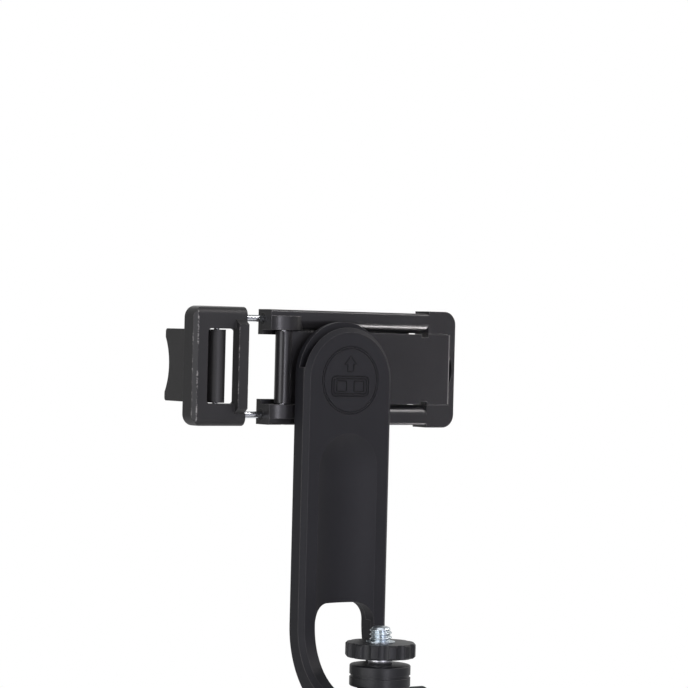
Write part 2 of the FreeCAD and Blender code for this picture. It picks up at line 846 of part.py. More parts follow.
def eye_cap(label, start):
    """Cap over one end of the pivot pin."""
    return cylinder(label, "eye_cap_radius", "eye_cap_thickness", (start, "0", "pivot_height"), "x")


# Roll motor
def motor_base():
    """Plate on the cover, with the tube that holds the bearings."""
    plate = cylinder("motor_plate", f"{BELL_OUTER}", "motor_base_thickness", ("0", COVER_FRONT, HEAD), "y")
    tube = ring("motor_tube", "tube_radius", "bearing_radius", "tube_length", ("0", MOTOR_REAR, HEAD))
    return combine("Fuse", "motor_base", plate, tube)


def stator():
    """Ring of wound teeth on the bearing tube."""
    body = new_body("stator")
    sketch = new_sketch(body, "XY", "running_gap")
    draw_circle(sketch, "0", "0", STATOR_RADIUS)
    draw_circle(sketch, "0", "0", "tube_radius")
    pad(body, sketch, "stator_length")
    sketch = new_sketch(body, "XY", "running_gap")
    half = "stator_slot_width / 2"
    draw_outline(sketch, rectangle("tube_radius + magnet_thickness", f"-{half}",
                                   f"{STATOR_RADIUS} - bell_wall", half))
    polar(body, pocket(body, sketch, "stator_length * 2"), "stator_slots")
    place(body, ("0", MOTOR_REAR, HEAD), "y")
    return body


def bearing(label, depth):
    """Small ball bearing as one ring."""
    spot = ("0", f"{MOTOR_REAR} + {depth}", HEAD)
    return ring(label, "bearing_radius", "shaft_radius + pin_play / 2", "bearing_width", spot)


def rotor_bell():
    """Cup that turns round the stator and carries the hinge plate."""
    rear = f"({MOTOR_REAR} + running_gap)"
    cup = cylinder("bell_cup", BELL_OUTER, f"{BELL_FRONT} - {rear}", ("0", rear, HEAD), "y")
    hollow = cylinder("bell_hollow", BELL_INNER, f"{BELL_FRONT} - bell_face - {rear}", ("0", rear, HEAD), "y")
    shell = combine("Cut", "bell_shell", cup, hollow)
    boss_length = f"{PLATE_REAR} - {BELL_FRONT}"
    boss = cylinder("bell_boss", "bell_boss_radius", boss_length, ("0", BELL_FRONT, HEAD), "y")
    solid = combine("Fuse", "bell_solid", shell, boss)
    bore = cylinder("bell_bore", "shaft_radius", f"{PLATE_REAR} - {rear}", ("0", rear, HEAD), "y")
    holes = together("bell_holes", [bore] + plate_screw_bars("bell_hole", "plate_screw_radius"))
    return combine("Cut", "rotor_bell", solid, holes)


def magnet_ring():
    """Magnets inside the bell."""
    rear = f"{MOTOR_REAR} + 2 * running_gap"
    return ring("magnet_ring", BELL_INNER, MAGNET_INNER, "stator_length", ("0", rear, HEAD))


def motor_shaft():
    """Shaft in the bearings, fixed in the bell."""
    rear = f"({MOTOR_REAR} + pin_play)"
    return cylinder("motor_shaft", "shaft_radius", f"{PLATE_REAR} - {rear}", ("0", rear, HEAD), "y")


def plate_screw_bars(label, radius):
    """Four bars along Y where the screws hold the plate to the bell."""
    tip = f"{PLATE_REAR} + plate_thickness - plate_screw_head_height - plate_screw_length"
    bars = []
    for number, (x, z) in enumerate((("", ""), ("", "-"), ("-", ""), ("-", "-")), start=1):
        spot = (f"{x}plate_screw_circle", tip, f"{HEAD} + {z}plate_screw_circle")
        bars.append(cylinder(f"{label}_{number}", radius, "plate_screw_length", spot, "y"))
    return bars


def plate_screws():
    """Four screws through the plate into the bell."""
    screws = []
    for number, bar in enumerate(plate_screw_bars("plate_screw_bar", "plate_screw_radius"), start=1):
        head = doc.addObject("Part::Cylinder", f"plate_screw_top_{number}")
        head.setExpression("Radius", bound("plate_screw_head - pin_play"))
        head.setExpression("Height", bound("plate_screw_head_height"))
        side = "" if number < 3 else "-"
        height = "" if number % 2 else "-"
        spot = (f"{side}plate_screw_circle", f"{PLATE_REAR} + plate_thickness - plate_screw_head_height",
                f"{HEAD} + {height}plate_screw_circle")
        place(head, spot, "y")
        screws.append(combine("Fuse", f"plate_screw_{number}", bar, head))
    return together("plate_screws", screws)


# Hinge plate
def hinge_plate():
    """Plate between the motor and the clamp, with a barrel at one end and a tab at the other."""
    body = new_body("hinge_plate")
    half = f"({HALF_OPENING} - running_gap)"
    notch = f"({half} - plate_notch_depth)"
    notch_left = "(end_start - plate_notch_width)"
    sketch = new_sketch(body, "XZ", PLATE_REAR)
    draw_outline(sketch, [
        ("-hinge_offset", f"{CLAMP} - {half}"),
        (notch_left, f"{CLAMP} - {half}"),
        (notch_left, f"{CLAMP} - {notch}"),
        ("end_start", f"{CLAMP} - {notch}"),
        ("end_start", f"{CLAMP} - {half}"),
        ("tab_right", f"{CLAMP} - {half}"),
        ("tab_right", f"{CLAMP} + {half}"),
        ("end_start", f"{CLAMP} + {half}"),
        ("end_start", f"{CLAMP} + {notch}"),
        (notch_left, f"{CLAMP} + {notch}"),
        (notch_left, f"{CLAMP} + {half}"),
        ("-hinge_offset", f"{CLAMP} + {half}"),
    ])
    pad(body, sketch, "plate_thickness")
    sketch = new_sketch(body, "XY", CLAMP)
    draw_circle(sketch, "-hinge_offset", HINGE_Y, "barrel_radius")
    pad(body, sketch, f"2 * {half}", both=True)
    sketch = new_sketch(body, "XZ", f"{PLATE_REAR} + tab_thickness")
    draw_outline(sketch, rectangle("end_start - running_gap", f"{CLAMP} - frame_height",
                                   "frame_right", f"{CLAMP} + frame_height"))
    pocket(body, sketch, "plate_thickness")
    sketch = new_sketch(body, "XY", CLAMP)
    draw_circle(sketch, "-hinge_offset", HINGE_Y, "hinge_pin_radius + pin_play")
    pocket(body, sketch)
    head_seat = "plate_thickness - plate_screw_head_height"
    for radius, depth in (("plate_screw_head", head_seat), ("plate_screw_radius", "0")):
        sketch = new_sketch(body, "XZ", f"{PLATE_REAR} + {depth}")
        for x in ("", "-"):
            for z in ("", "-"):
                draw_circle(sketch, f"{x}plate_screw_circle", f"{HEAD} + {z}plate_screw_circle", radius)
        pocket(body, sketch, "plate_thickness")
    return body


def hinge_pin():
    """Pin through both knuckles and the barrel."""
    half = f"({HALF_OPENING} + knuckle_height - pin_play)"
    spot = ("-hinge_offset", HINGE_Y, f"{CLAMP} - {half}")
    return cylinder("hinge_pin", "hinge_pin_radius", f"2 * {half}", spot)


# Clamp frame
def clamp_frame():
    """Two bars joined by an end block, with hinge knuckles, lips and bores for the jaw's rods."""
    body = new_body("clamp_frame")
    sketch = new_sketch(body, "XZ", PLATE_REAR)
    draw_outline(sketch, [
        ("-frame_left", f"{CLAMP} - {HALF_FRAME}"),
        ("end_start", f"{CLAMP} - {HALF_FRAME}"),
        ("end_start", f"{CLAMP} - {HALF_END}"),
        ("frame_right - end_corner", f"{CLAMP} - {HALF_END}", "end_corner"),
        ("frame_right", f"{CLAMP} - {HALF_END} + end_corner"),
        ("frame_right", f"{CLAMP} + {HALF_END} - end_corner", "end_corner"),
        ("frame_right - end_corner", f"{CLAMP} + {HALF_END}"),
        ("end_start", f"{CLAMP} + {HALF_END}"),
        ("end_start", f"{CLAMP} + {HALF_FRAME}"),
        ("-frame_left", f"{CLAMP} + {HALF_FRAME}"),
        ("-frame_left", f"{CLAMP} + {HALF_OPENING}"),
        ("end_start", f"{CLAMP} + {HALF_OPENING}"),
        ("end_start", f"{CLAMP} - {HALF_OPENING}"),
        ("-frame_left", f"{CLAMP} - {HALF_OPENING}"),
    ])
    pad(body, sketch, "frame_depth")
    rear, centre, limit = value(PLATE_REAR), value(CLAMP), value("end_start")
    for size, offset in (("bar_round", HALF_OPENING), ("bar_edge", HALF_FRAME)):
        level = value(offset)

        def bar_edge(edge, spot):
            """A long rear edge of one of the bars."""
            along = abs(abs(spot.z - centre) - level) < NEAR
            return along and abs(spot.y - rear) < NEAR and spot.x < limit - NEAR
        dress(body, "Fillet", size, bar_edge)
    add_knuckles(body)
    add_lips(body)
    cut_tab_seat(body)
    cut_hook_seat(body)
    sketch = new_sketch(body, "XY", CLAMP)
    draw_circle(sketch, "-hinge_offset", HINGE_Y, "hinge_pin_radius")
    pocket(body, sketch)
    sketch = new_sketch(body, "YZ", "-frame_left")
    for side in ("", "-"):
        draw_circle(sketch, ROD_Y, f"{CLAMP} + {side}{ROD_OFFSET}", "chamber_radius")
    pocket(body, sketch, "frame_left + chamber_end")
    return body


def add_knuckles(body):
    """Hinge knuckles on the inner side of each bar, arched over the pin."""
    back = f"({HINGE_Y} - knuckle_radius)"
    left_run = "(frame_left - hinge_offset)"
    left_rise = "(knuckle_radius - hinge_depth + pin_play)"
    left_arc = f"(({left_run} ^ 2 + {left_rise} ^ 2) / (2 * {left_rise}))"
    for level in (f"{CLAMP} + {HALF_OPENING}", f"{CLAMP} - {HALF_OPENING} - knuckle_height"):
        sketch = new_sketch(body, "XY", level)
        draw_outline(sketch, [
            ("-frame_left", f"{HINGE_Y} + knuckle_radius"),
            ("-frame_left", f"{back} + {left_rise}", left_arc),
            ("-hinge_offset", back, "((knuckle_tail ^ 2 + knuckle_radius ^ 2) / (2 * knuckle_radius))"),
            ("-hinge_offset + knuckle_tail", HINGE_Y),
            ("-hinge_offset + knuckle_tail", f"{HINGE_Y} + knuckle_radius"),
        ])
        pad(body, sketch, "knuckle_height")


def add_lips(body):
    """Lips along the front of the bars that close the gap behind the hinge plate."""
    for level in (f"{CLAMP} + {HALF_OPENING} - lip_width", f"{CLAMP} - {HALF_OPENING}"):
        sketch = new_sketch(body, "XZ", f"{FRAME_FRONT} - lip_thickness")
        right = "end_start - end_corner"
        draw_outline(sketch, rectangle("-frame_left", level, right, f"{level} + lip_width"))
        pad(body, sketch, "lip_thickness")


def cut_tab_seat(body):
    """Seat for the plate's tab in the rear of the end block, with a finger notch."""
    half = f"({HALF_OPENING} - running_gap + tab_seat_play)"
    right = "(tab_right + tab_seat_play)"
    sketch = new_sketch(body, "XZ", PLATE_REAR)
    draw_outline(sketch, rectangle("end_start - end_corner", f"{CLAMP} - {half}", right, f"{CLAMP} + {half}"))
    pocket(body, sketch, "tab_thickness + tab_seat_play")
    sketch = new_sketch(body, "XZ", PLATE_REAR)
    draw_circle(sketch, f"{right} + finger_notch_rise - finger_notch_radius", CLAMP, "finger_notch_radius")
    pocket(body, sketch, "tab_thickness + tab_seat_play")


def cut_hook_seat(body):
    """Open slot for the fixed hook's root in the front of the end block, and its pin hole."""
    half = "(fixed_hook_height / 2 + running_gap)"
    reach = "(fixed_hook_root + running_gap)"
    sketch = new_sketch(body, "XZ", f"{FIXED_HOOK_Y} - {reach}")
    draw_outline(sketch, rectangle("end_start - end_corner", f"{CLAMP} - {half}",
                                   f"fixed_hook_offset + {reach}", f"{CLAMP} + {half}"))
    pocket(body, sketch, "frame_depth")
    cut_hook_pin(body, "fixed", "fixed_hook_offset", FIXED_HOOK_Y)


def cut_hook_pin(body, kind, x, y):
    """Blind pin hole both ways along Z from the clamp's middle."""
    for upwards in (True, False):
        sketch = new_sketch(body, "XY", CLAMP)
        draw_circle(sketch, x, y, "hook_pin_radius")
        pocket(body, sketch, HOOK_PIN_HALF[kind], towards_plus=upwards)


def phone_pad(label, side):
    """Rubber strip on the front of one bar."""
    height = f"({HALF_FRAME} - {HALF_OPENING} - 2 * pad_margin)"
    low = f"{CLAMP} + {HALF_OPENING} + pad_margin" if side == "" else f"{CLAMP} - {HALF_FRAME} + pad_margin"
    size = ("frame_left + frame_right - 2 * end_corner", "pad_thickness", height)
    return box(label, size, ("-frame_left + end_corner", FRAME_FRONT, low))


# Sliding jaw
def moving_jaw():
    """Framed jaw that carries the rods, with a ribbed wall towards the clamp frame."""
    body = new_body("moving_jaw")
    half = f"({HALF_FRAME} + jaw_step)"
    sketch = new_sketch(body, "XZ", JAW_REAR)
    draw_outline(sketch, rectangle("-jaw_left", f"{CLAMP} - {half}", "-jaw_right", f"{CLAMP} + {half}"))
    pad(body, sketch, "jaw_thickness")
    rear, centre, top = value(JAW_REAR), value(CLAMP), value(half)

    def long_edge(edge, spot):
        """The rear edge along the jaw's top or bottom."""
        return abs(spot.y - rear) < NEAR and abs(abs(spot.z - centre) - top) < NEAR
    dress(body, "Fillet", "jaw_round", long_edge)
    round_jaw_end(body, half)
    sketch = new_sketch(body, "XZ", JAW_REAR)
    draw_outline(sketch, round_rectangle("-jaw_window_left", f"{CLAMP} - {HALF_OPENING}", "-jaw_window_right",
                                         f"{CLAMP} + {HALF_OPENING}", "jaw_window_corner"))
    pocket(body, sketch)
    sketch = new_sketch(body, "XZ", f"{JAW_REAR} + jaw_wall")
    draw_outline(sketch, rectangle("-jaw_window_right - jaw_wall", f"{CLAMP} - {HALF_OPENING}",
                                   "0", f"{CLAMP} + {HALF_OPENING}"))
    pocket(body, sketch, "jaw_thickness")
    add_rib(body)
    sketch = new_sketch(body, "YZ", "-rod_start")
    for side in ("", "-"):
        draw_circle(sketch, ROD_Y, f"{CLAMP} + {side}{ROD_OFFSET}", "rod_radius")
    pocket(body, sketch, "rod_start")
    cut_hook_pin(body, "moving", "-moving_hook_offset", MOVING_HOOK_Y)
    return body


def round_jaw_end(body, half):
    """Round the jaw's outer corners and bevel the rear edge between them."""
    for side, turn in (("", "-"), ("-", "")):
        low = f"{CLAMP} + {side}({half} - jaw_corner)"
        high = f"{CLAMP} + {side}{half}"
        beyond = f"{CLAMP} + {side}({half} + jaw_corner)"
        sketch = new_sketch(body, "XZ")
        draw_outline(sketch, [
            ("-jaw_left", low, f"{turn}jaw_corner"),
            ("-jaw_left + jaw_corner", high),
            ("-jaw_left + jaw_corner", beyond),
            ("-jaw_left - jaw_corner", beyond),
            ("-jaw_left - jaw_corner", low),
        ])
        pocket(body, sketch)
    sketch = new_sketch(body, "XY")
    draw_outline(sketch, [
        ("-jaw_left", f"{JAW_REAR} + jaw_chamfer"),
        ("-jaw_left - jaw_chamfer", f"{JAW_REAR} + jaw_chamfer"),
        ("-jaw_left - jaw_chamfer", f"{JAW_REAR} - jaw_chamfer"),
        ("-jaw_left + 2 * jaw_chamfer", f"{JAW_REAR} - jaw_chamfer"),
    ])
    pocket(body, sketch)


def add_rib(body):
    """Upright rib behind the jaw's inner wall, with sloped ends."""
    half = "(rib_height / 2)"
    sketch = new_sketch(body, "YZ", "-rib_left")
    draw_outline(sketch, [
        (f"{JAW_REAR} + jaw_wall / 2", f"{CLAMP} - {half}"),
        (f"{JAW_REAR} + jaw_wall / 2", f"{CLAMP} + {half}"),
        (JAW_REAR, f"{CLAMP} + {half}"),
        (f"{JAW_REAR} - rib_proud", f"{CLAMP} + {half} - rib_bevel"),
        (f"{JAW_REAR} - rib_proud", f"{CLAMP} - {half} + rib_bevel"),
        (JAW_REAR, f"{CLAMP} - {half}"),
    ])
    pad(body, sketch, "rib_left - rib_right")


def guide_rod(label, side):
    """Polished rod fixed in the jaw."""
    spot = ("-rod_start", ROD_Y, f"{CLAMP} + {side}{ROD_OFFSET}")
    return cylinder(label, "rod_radius", "rod_start + rod_end", spot, "x")


def rod_stop(label, side):
    """Collar on the rod's inner end that the spring pushes on."""
    spot = ("rod_end - stop_length", ROD_Y, f"{CLAMP} + {side}{ROD_OFFSET}")
    return ring(label, "stop_radius", "rod_radius", "stop_length", spot, "x")


def rod_bush(label, side):
    """Guide bush at the mouth of a bar's bore."""
    spot = ("-frame_left", ROD_Y, f"{CLAMP} + {side}{ROD_OFFSET}")
    return ring(label, "chamber_radius", "rod_radius + pin_play", "bush_length", spot, "x")


# Folding hooks
def hook(label, kind, side, y):
    """Hook with a round root on its pin, a heel beside the clamped edge and a plate with a hollowed end."""
    body = new_body(label)
    pivot = f"{side}{kind}_hook_offset"
    inner = f"{side}({kind}_hook_offset + {kind}_hook_step)"
    outer = f"{side}({kind}_hook_offset + {kind}_hook_step + hook_thickness)"
    tip = f"({HOOK_START} + hook_reach)"
    sketch = new_sketch(body, "XY", CLAMP)
    draw_circle(sketch, pivot, y, f"{kind}_hook_root")
    pad(body, sketch, f"{kind}_hook_height", both=True)
    heel_inner = f"{side}({kind}_hook_offset + {kind}_heel_inner)"
    heel_outer = f"{side}({kind}_hook_offset + {kind}_heel_outer)"
    heel_top = f"({HOOK_START} + hook_web)"
    sketch = new_sketch(body, "XY", CLAMP)
    draw_outline(sketch, [
        (heel_inner, y),
        (heel_outer, y),
        (heel_outer, HOOK_START),
        (outer, HOOK_START),
        (outer, tip),
        (inner, tip),
        (inner, heel_top),
        (heel_inner, heel_top),
    ])
    pad(body, sketch, f"{kind}_hook_height", both=True)
    span = f"({kind}_hook_height / 2 - hook_notch_margin)"
    radius = f"(({span} ^ 2 + hook_notch ^ 2) / (2 * hook_notch))"
    sketch = new_sketch(body, "YZ")
    draw_circle(sketch, f"{tip} - hook_notch + {radius}", CLAMP, radius)
    pocket(body, sketch)
    end, centre, half = value(tip), value(CLAMP), value(f"{kind}_hook_height / 2")

    def tip_corner(edge, spot):
        """A corner across the plate's end."""
        return abs(spot.y - end) < NEAR and abs(abs(spot.z - centre) - half) < NEAR
    dress(body, "Fillet", "hook_corner", tip_corner)
    sketch = new_sketch(body, "XY", CLAMP)
    draw_circle(sketch, pivot, y, "hook_pin_radius + pin_play")
    pocket(body, sketch)
    return body


def hook_pin(label, kind, x, y):
    """Pin that a hook folds on."""
    half = HOOK_PIN_HALF[kind]
    return cylinder(label, "hook_pin_radius", f"2 * {half}", (x, y, f"{CLAMP} - {half}"))


def hook_pad(label, kind, x):
    """Rubber facing on the inner side of a hook's plate."""
    height = f"({kind}_hook_height - 2 * hook_pad_margin)"
    length = "(hook_reach - hook_web - hook_notch - hook_pad_margin)"
    corner = (x, f"{HOOK_START} + hook_web", f"{CLAMP} - {height} / 2")
    return box(label, ("hook_pad_thickness", length, height), corner)


pieces = [
    handle_shell(),
    grip_sleeve(),
    foot_cap(),
    socket_insert(),
    inner_carrier(),
    battery(),
    control_board(),
    power_button(),
    pivot_hub(),
    pivot_pin(),
    column_platform(),
    camera_screw(),
    lock_knob(),
    knob_insert(),
    arm_core(),
    arm_cover(),
    eye_cap("eye_cap_left", f"-{HALF_ARM}"),
    eye_cap("eye_cap_right", f"{HALF_ARM} - eye_cap_thickness"),
    motor_base(),
    stator(),
    bearing("bearing_rear", "pin_play"),
    bearing("bearing_front", "tube_length - bearing_width"),
    rotor_bell(),
    magnet_ring(),
    motor_shaft(),
    hinge_plate(),
    plate_screws(),
    hinge_pin(),
    clamp_frame(),
    phone_pad("phone_pad_upper", ""),
    phone_pad("phone_pad_lower", "-"),
    moving_jaw(),
    hook("moving_hook", "moving", "-", MOVING_HOOK_Y),
    hook("fixed_hook", "fixed", "", FIXED_HOOK_Y),
    hook_pin("moving_hook_pin", "moving", "-moving_hook_offset", MOVING_HOOK_Y),
    hook_pin("fixed_hook_pin", "fixed", "fixed_hook_offset", FIXED_HOOK_Y),
    hook_pad("moving_hook_facing", "moving", "-moving_hook_offset - moving_hook_step"),
    hook_pad("fixed_hook_facing", "fixed", "fixed_hook_offset + fixed_hook_step - hook_pad_thickness"),
]
for level, side in (("upper", ""), ("lower", "-")):
    pieces.append(guide_rod(f"guide_rod_{level}", side))
    pieces.append(rod_stop(f"rod_stop_{level}", side))
    pieces.append(rod_bush(f"rod_bush_{level}", side))

doc.recompute()
failed = [item.Label for item in doc.Objects if {"Invalid", "Error"} & set(item.State)]
failed += [item.Label for item in pieces if item.Shape.isNull() or not item.Shape.isValid()]
if failed:
    raise RuntimeError(f"not built: {failed}")
os.makedirs("parts", exist_ok=True)
for item in pieces:
    item.Shape.exportStep(f"parts/{item.Label}.step")
print(len(pieces), "pieces")
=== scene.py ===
"""Looks of the folding gimbal stabilizer: black plastic, rubber, a bright screw and rods."""
import json
import math
import bmesh
import bpy
from mathutils import Matrix, Vector


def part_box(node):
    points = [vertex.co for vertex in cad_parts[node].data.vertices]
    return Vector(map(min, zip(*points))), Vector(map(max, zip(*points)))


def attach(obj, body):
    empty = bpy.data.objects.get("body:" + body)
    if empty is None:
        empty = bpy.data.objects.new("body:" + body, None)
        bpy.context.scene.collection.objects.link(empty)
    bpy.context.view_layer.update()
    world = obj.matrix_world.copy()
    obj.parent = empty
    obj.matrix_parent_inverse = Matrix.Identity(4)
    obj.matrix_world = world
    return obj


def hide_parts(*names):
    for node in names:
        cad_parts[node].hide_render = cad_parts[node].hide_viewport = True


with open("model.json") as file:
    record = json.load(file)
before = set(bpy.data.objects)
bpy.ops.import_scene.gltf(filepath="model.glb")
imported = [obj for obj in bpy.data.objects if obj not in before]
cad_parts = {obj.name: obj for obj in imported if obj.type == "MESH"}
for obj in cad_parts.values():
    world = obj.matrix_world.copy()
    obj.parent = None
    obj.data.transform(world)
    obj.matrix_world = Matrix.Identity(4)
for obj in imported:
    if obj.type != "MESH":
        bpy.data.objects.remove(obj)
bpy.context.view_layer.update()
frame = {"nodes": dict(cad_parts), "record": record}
nodes = frame["nodes"]

MM = 0.001

# Edges of the moulded and turned pieces
EDGE_ROUND = 0.16 * MM
EDGE_SAMPLES = 6
CREASE_ANGLE = math.radians(33)
FINE_CREASE_ANGLE = math.radians(20)
WELD_REACH = 0.002 * MM

# Moulded finishes; noise scales are per metre
PIT_SCALE = 2600.0
PIT_DEPTH = 0.012 * MM
PIT_BUMP = 0.5
UNEVENNESS_SCALE = 90.0
PLAIN_SHINE = 0.42

# Metal finishes, with streaks along Z, along X or round a winding
UPRIGHT_STREAKS = (900.0, 900.0, 60.0)
LENGTHWISE_STREAKS = (60.0, 900.0, 900.0)
WIRE_STREAKS = (400.0, 4000.0, 400.0)
STREAK_DEPTH = 0.004 * MM
STREAK_BUMP = 0.4

# Painted highlights on edges, a little paler than the faces
EDGE_HIGHLIGHT_COLOUR = (0.075, 0.072, 0.072, 1)
EDGE_HIGHLIGHT_SCALE = 600.0
EDGE_HIGHLIGHT_LEAST = 0.4
PLAIN_GAIN = 3.0
STRONG_GAIN = 7.0

# Rubbed edges, worn to a grey that breaks up into scratches
RUB_COLOUR = (0.30, 0.29, 0.28, 1)
RUB_COARSE_SCALE = 420.0
RUB_FINE_SCALE = 2400.0
RUB_THRESHOLD = 0.34
RUB_LIFT = 0.16
RUB_SHARPNESS = 14.0

# Upright edges that are rubbed: X, Y, half width and amount
JAW_RUBS = (
    (-46.5 * MM, 27.7 * MM, 0.34 * MM, 0.62),
    (-47.6 * MM, 28.8 * MM, 0.30 * MM, 0.40),
    (-33.9 * MM, 25.7 * MM, 0.32 * MM, 0.50),
    (-30.6 * MM, 25.7 * MM, 0.26 * MM, 0.30),
)
# The plate's right edge: a pale stripe that is partly wear and partly a painted highlight on its
# bevel
PLATE_RUB_AND_HIGHLIGHT = ((42.0 * MM, 26.7 * MM, 0.45 * MM, 1.8),)

# Camera screw; the groove's half width and the flank are shares of the pitch
SCREW_RADIUS = 3.175 * MM
SHANK_RADIUS = 2.9 * MM
COLLAR_HEIGHT = 2.3 * MM
THREAD_PITCH = 1.27 * MM
THREAD_DEPTH = 0.62 * MM
THREAD_STEPS = 40
THREAD_ROWS = 8
GROOVE_HALF = 0.06
FLANK = 0.36

# The thread's lowered start at the screw's top: share of its depth, and rise per pitch
LEAD_START = 0.25
LEAD_RISE = 2

# Socket screws of the hinge plate
HEAD_RADIUS = 1.9 * MM
HEAD_HEIGHT = 1.2 * MM
HEAD_PLAY = 0.04 * MM
HEAD_EDGE = 0.15 * MM
STEM_RADIUS = 0.96 * MM
STEM_TIP = 0.8
STEM_TAPER = 0.3
HEX_HALF = 0.75 * MM
HEX_DEPTH = 0.7 * MM
HEX_STEPS = 36
MOST_TURN = math.pi / 3
TURN_SEED = 7

# Ring of the head, round the motor's shaft, inside which the edges get no painted highlight
HEAD_LEVEL = sum(corner.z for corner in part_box("motor_shaft")) / 2
RING_REACH = 10.6 * MM

# Pictogram inside the ring: the radius of its lines, and the face that they lie on
SIGN_LINE = 0.16 * MM
SIGN_LINE_SIDES = 8
FACE_LEVEL = 18.3 * MM

# Its outlines, in millimetres from the middle of the ring
SIGN_ARROW = [(0, 7.0), (2.1, 4.7), (1.05, 4.7), (1.05, 2.6),
              (-1.05, 2.6), (-1.05, 4.7), (-2.1, 4.7)]
# Half width, half height, middle and corner radius
SIGN_FRAMES = ((6.5, 2.9, -1.7, 1.3), (5.75, 2.2, -1.7, 0.8))
SIGN_SQUARE = (1.72, 1.54, -1.7, 0.4)
SIGN_SQUARE_SHIFT = 3.04
SIGN_CORNER_STEPS = 5

# Camera, in metres
EYE = Vector((-0.4433, -0.6210, 0.2460))
AIM = Vector((0.00869, 0.0347, 0.2432))
LENS = 139.7
SENSOR = 36.0
CAMERA_ROLL = math.radians(1.4)
CLIP_NEAR = 0.05
CLIP_FAR = 20

# Floor
FLOOR_RADIUS = 0.62
FLOOR_SEGMENTS = 96
FLOOR_NOISE = 6.0
FLOOR_DARK = 0.86
FLOOR_LIGHT = 0.90
FLOOR_ROUGHNESS = 0.7

# Surround: its strength in front and behind, and the cosines between which it changes
ROOM_LEVEL = 0.12
BACKDROP_LEVEL = 0.65
ROOM_EDGE = 0.1
BACKDROP_EDGE = 0.8

# Lamps: name, place, point faced, width and height, watts, colour, and spread behind a grid
LAMP_AIM = (0, 0.02, 0.2)
LAMPS = (
    ("left_front", (-1.00, -0.35, 0.36), LAMP_AIM, (0.6, 0.84), 5.3, (0.96, 0.95, 1.0)),
    ("left_strip", (-0.95, 0.20, 0.28), LAMP_AIM, (0.12, 0.6), 1.4),
    ("front_strip", (-0.17, -1.00, 0.28), LAMP_AIM, (0.12, 0.7), 3.6, (0.92, 0.90, 1.0)),
    ("top", (-0.15, -0.10, 1.00), LAMP_AIM, (0.8, 0.6), 1.9, (0.97, 0.96, 1.0)),
    ("under_right", (0.217, -0.135, 0.030), (0.042, 0.028, 0.250), (0.06, 0.06), 0.008,
     (1.0, 0.95, 0.96), math.radians(14)),
    ("over_right", (0.38, -0.28, 0.66), (0.03, 0.03, 0.236), (0.14, 0.16), 1.2,
     (1.0, 0.96, 0.97)),
    ("right_soft", (0.85, -0.55, 0.25), LAMP_AIM, (0.4, 0.6), 0.25, (0.92, 0.90, 1.0)),
    ("right_rim", (0.95, -0.06, 0.58), LAMP_AIM, (0.2, 0.5), 1.3, (1.0, 0.93, 0.88)),
    ("clamp_side", (0.25, 0.70, 1.10), LAMP_AIM, (0.4, 0.5), 2.6),
    ("front", (0.30, -1.00, 0.45), LAMP_AIM, (0.6, 0.8), 1.8, (0.88, 0.86, 1.0)),
)


# Shader nodes
def math_node(tree, operation, first, second=None, clamp=False):
    """A Math node whose inputs are numbers or other sockets."""
    node = tree.nodes.new("ShaderNodeMath")
    node.operation = operation
    node.use_clamp = clamp
    for socket, item in zip(node.inputs, (first, second)):
        if item is None:
            continue
        if isinstance(item, (int, float)):
            socket.default_value = item
        else:
            tree.links.new(item, socket)
    return node.outputs[0]


def length_node(tree, across, along):
    """The distance given by two sockets at right angles."""
    squares = math_node(tree, "ADD", math_node(tree, "MULTIPLY", across, across),
                        math_node(tree, "MULTIPLY", along, along))
    return math_node(tree, "SQRT", squares)


def noise_node(tree, vector, scale, detail):
    """A Noise Texture on a coordinate; the scale is a number or a socket."""
    node = tree.nodes.new("ShaderNodeTexNoise")
    node.inputs["Detail"].default_value = detail
    tree.links.new(vector, node.inputs["Vector"])
    if isinstance(scale, (int, float)):
        node.inputs["Scale"].default_value = scale
    else:
        tree.links.new(scale, node.inputs["Scale"])
    return node.outputs["Fac"]


def object_coords(tree):
    """The Object coordinate."""
    return tree.nodes.new("ShaderNodeTexCoord").outputs["Object"]


def split_vector(tree, vector):
    """The X, Y and Z of a vector."""
    parts = tree.nodes.new("ShaderNodeSeparateXYZ")
    tree.links.new(vector, parts.inputs[0])
    return parts.outputs


def edge_node(tree):
    """A Bevel node, whose normal turns smoothly over an edge."""
    node = tree.nodes.new("ShaderNodeBevel")
    node.samples = EDGE_SAMPLES
    return node


# Node groups shared by the materials
def start_group(name, inputs, outputs):
    """A shader node group with named number sockets, and its two end nodes."""
    group = bpy.data.node_groups.new(name, "ShaderNodeTree")
    for label, value in inputs.items():
        socket = group.interface.new_socket(name=label, in_out="INPUT",
                                            socket_type="NodeSocketFloat")
        socket.default_value = value
    for label in outputs:
        group.interface.new_socket(name=label, in_out="OUTPUT", socket_type="NodeSocketFloat")
    return group, group.nodes.new("NodeGroupInput"), group.nodes.new("NodeGroupOutput")


def make_grain_group():
    """Spark-eroded grain of a mould: fine pits on a slow unevenness."""
    group, inner, outer = start_group(
        "mould_grain", {"Pit Scale": PIT_SCALE, "Unevenness Scale": UNEVENNESS_SCALE},
        ("Height", "Tone"))
    coords = object_coords(group)
    pits = group.nodes.new("ShaderNodeTexVoronoi")
    pits.feature = "SMOOTH_F1"
    group.links.new(coords, pits.inputs["Vector"])
    group.links.new(inner.outputs["Pit Scale"], pits.inputs["Scale"])
    fine = noise_node(group, coords, inner.outputs["Pit Scale"], detail=2.0)
    slow = noise_node(group, coords, inner.outputs["Unevenness Scale"], detail=3.0)
    both = math_node(group, "ADD", pits.outputs["Distance"], fine)
    group.links.new(math_node(group, "MULTIPLY", both, 0.5), outer.inputs["Height"])
    group.links.new(slow, outer.inputs["Tone"])
    return group


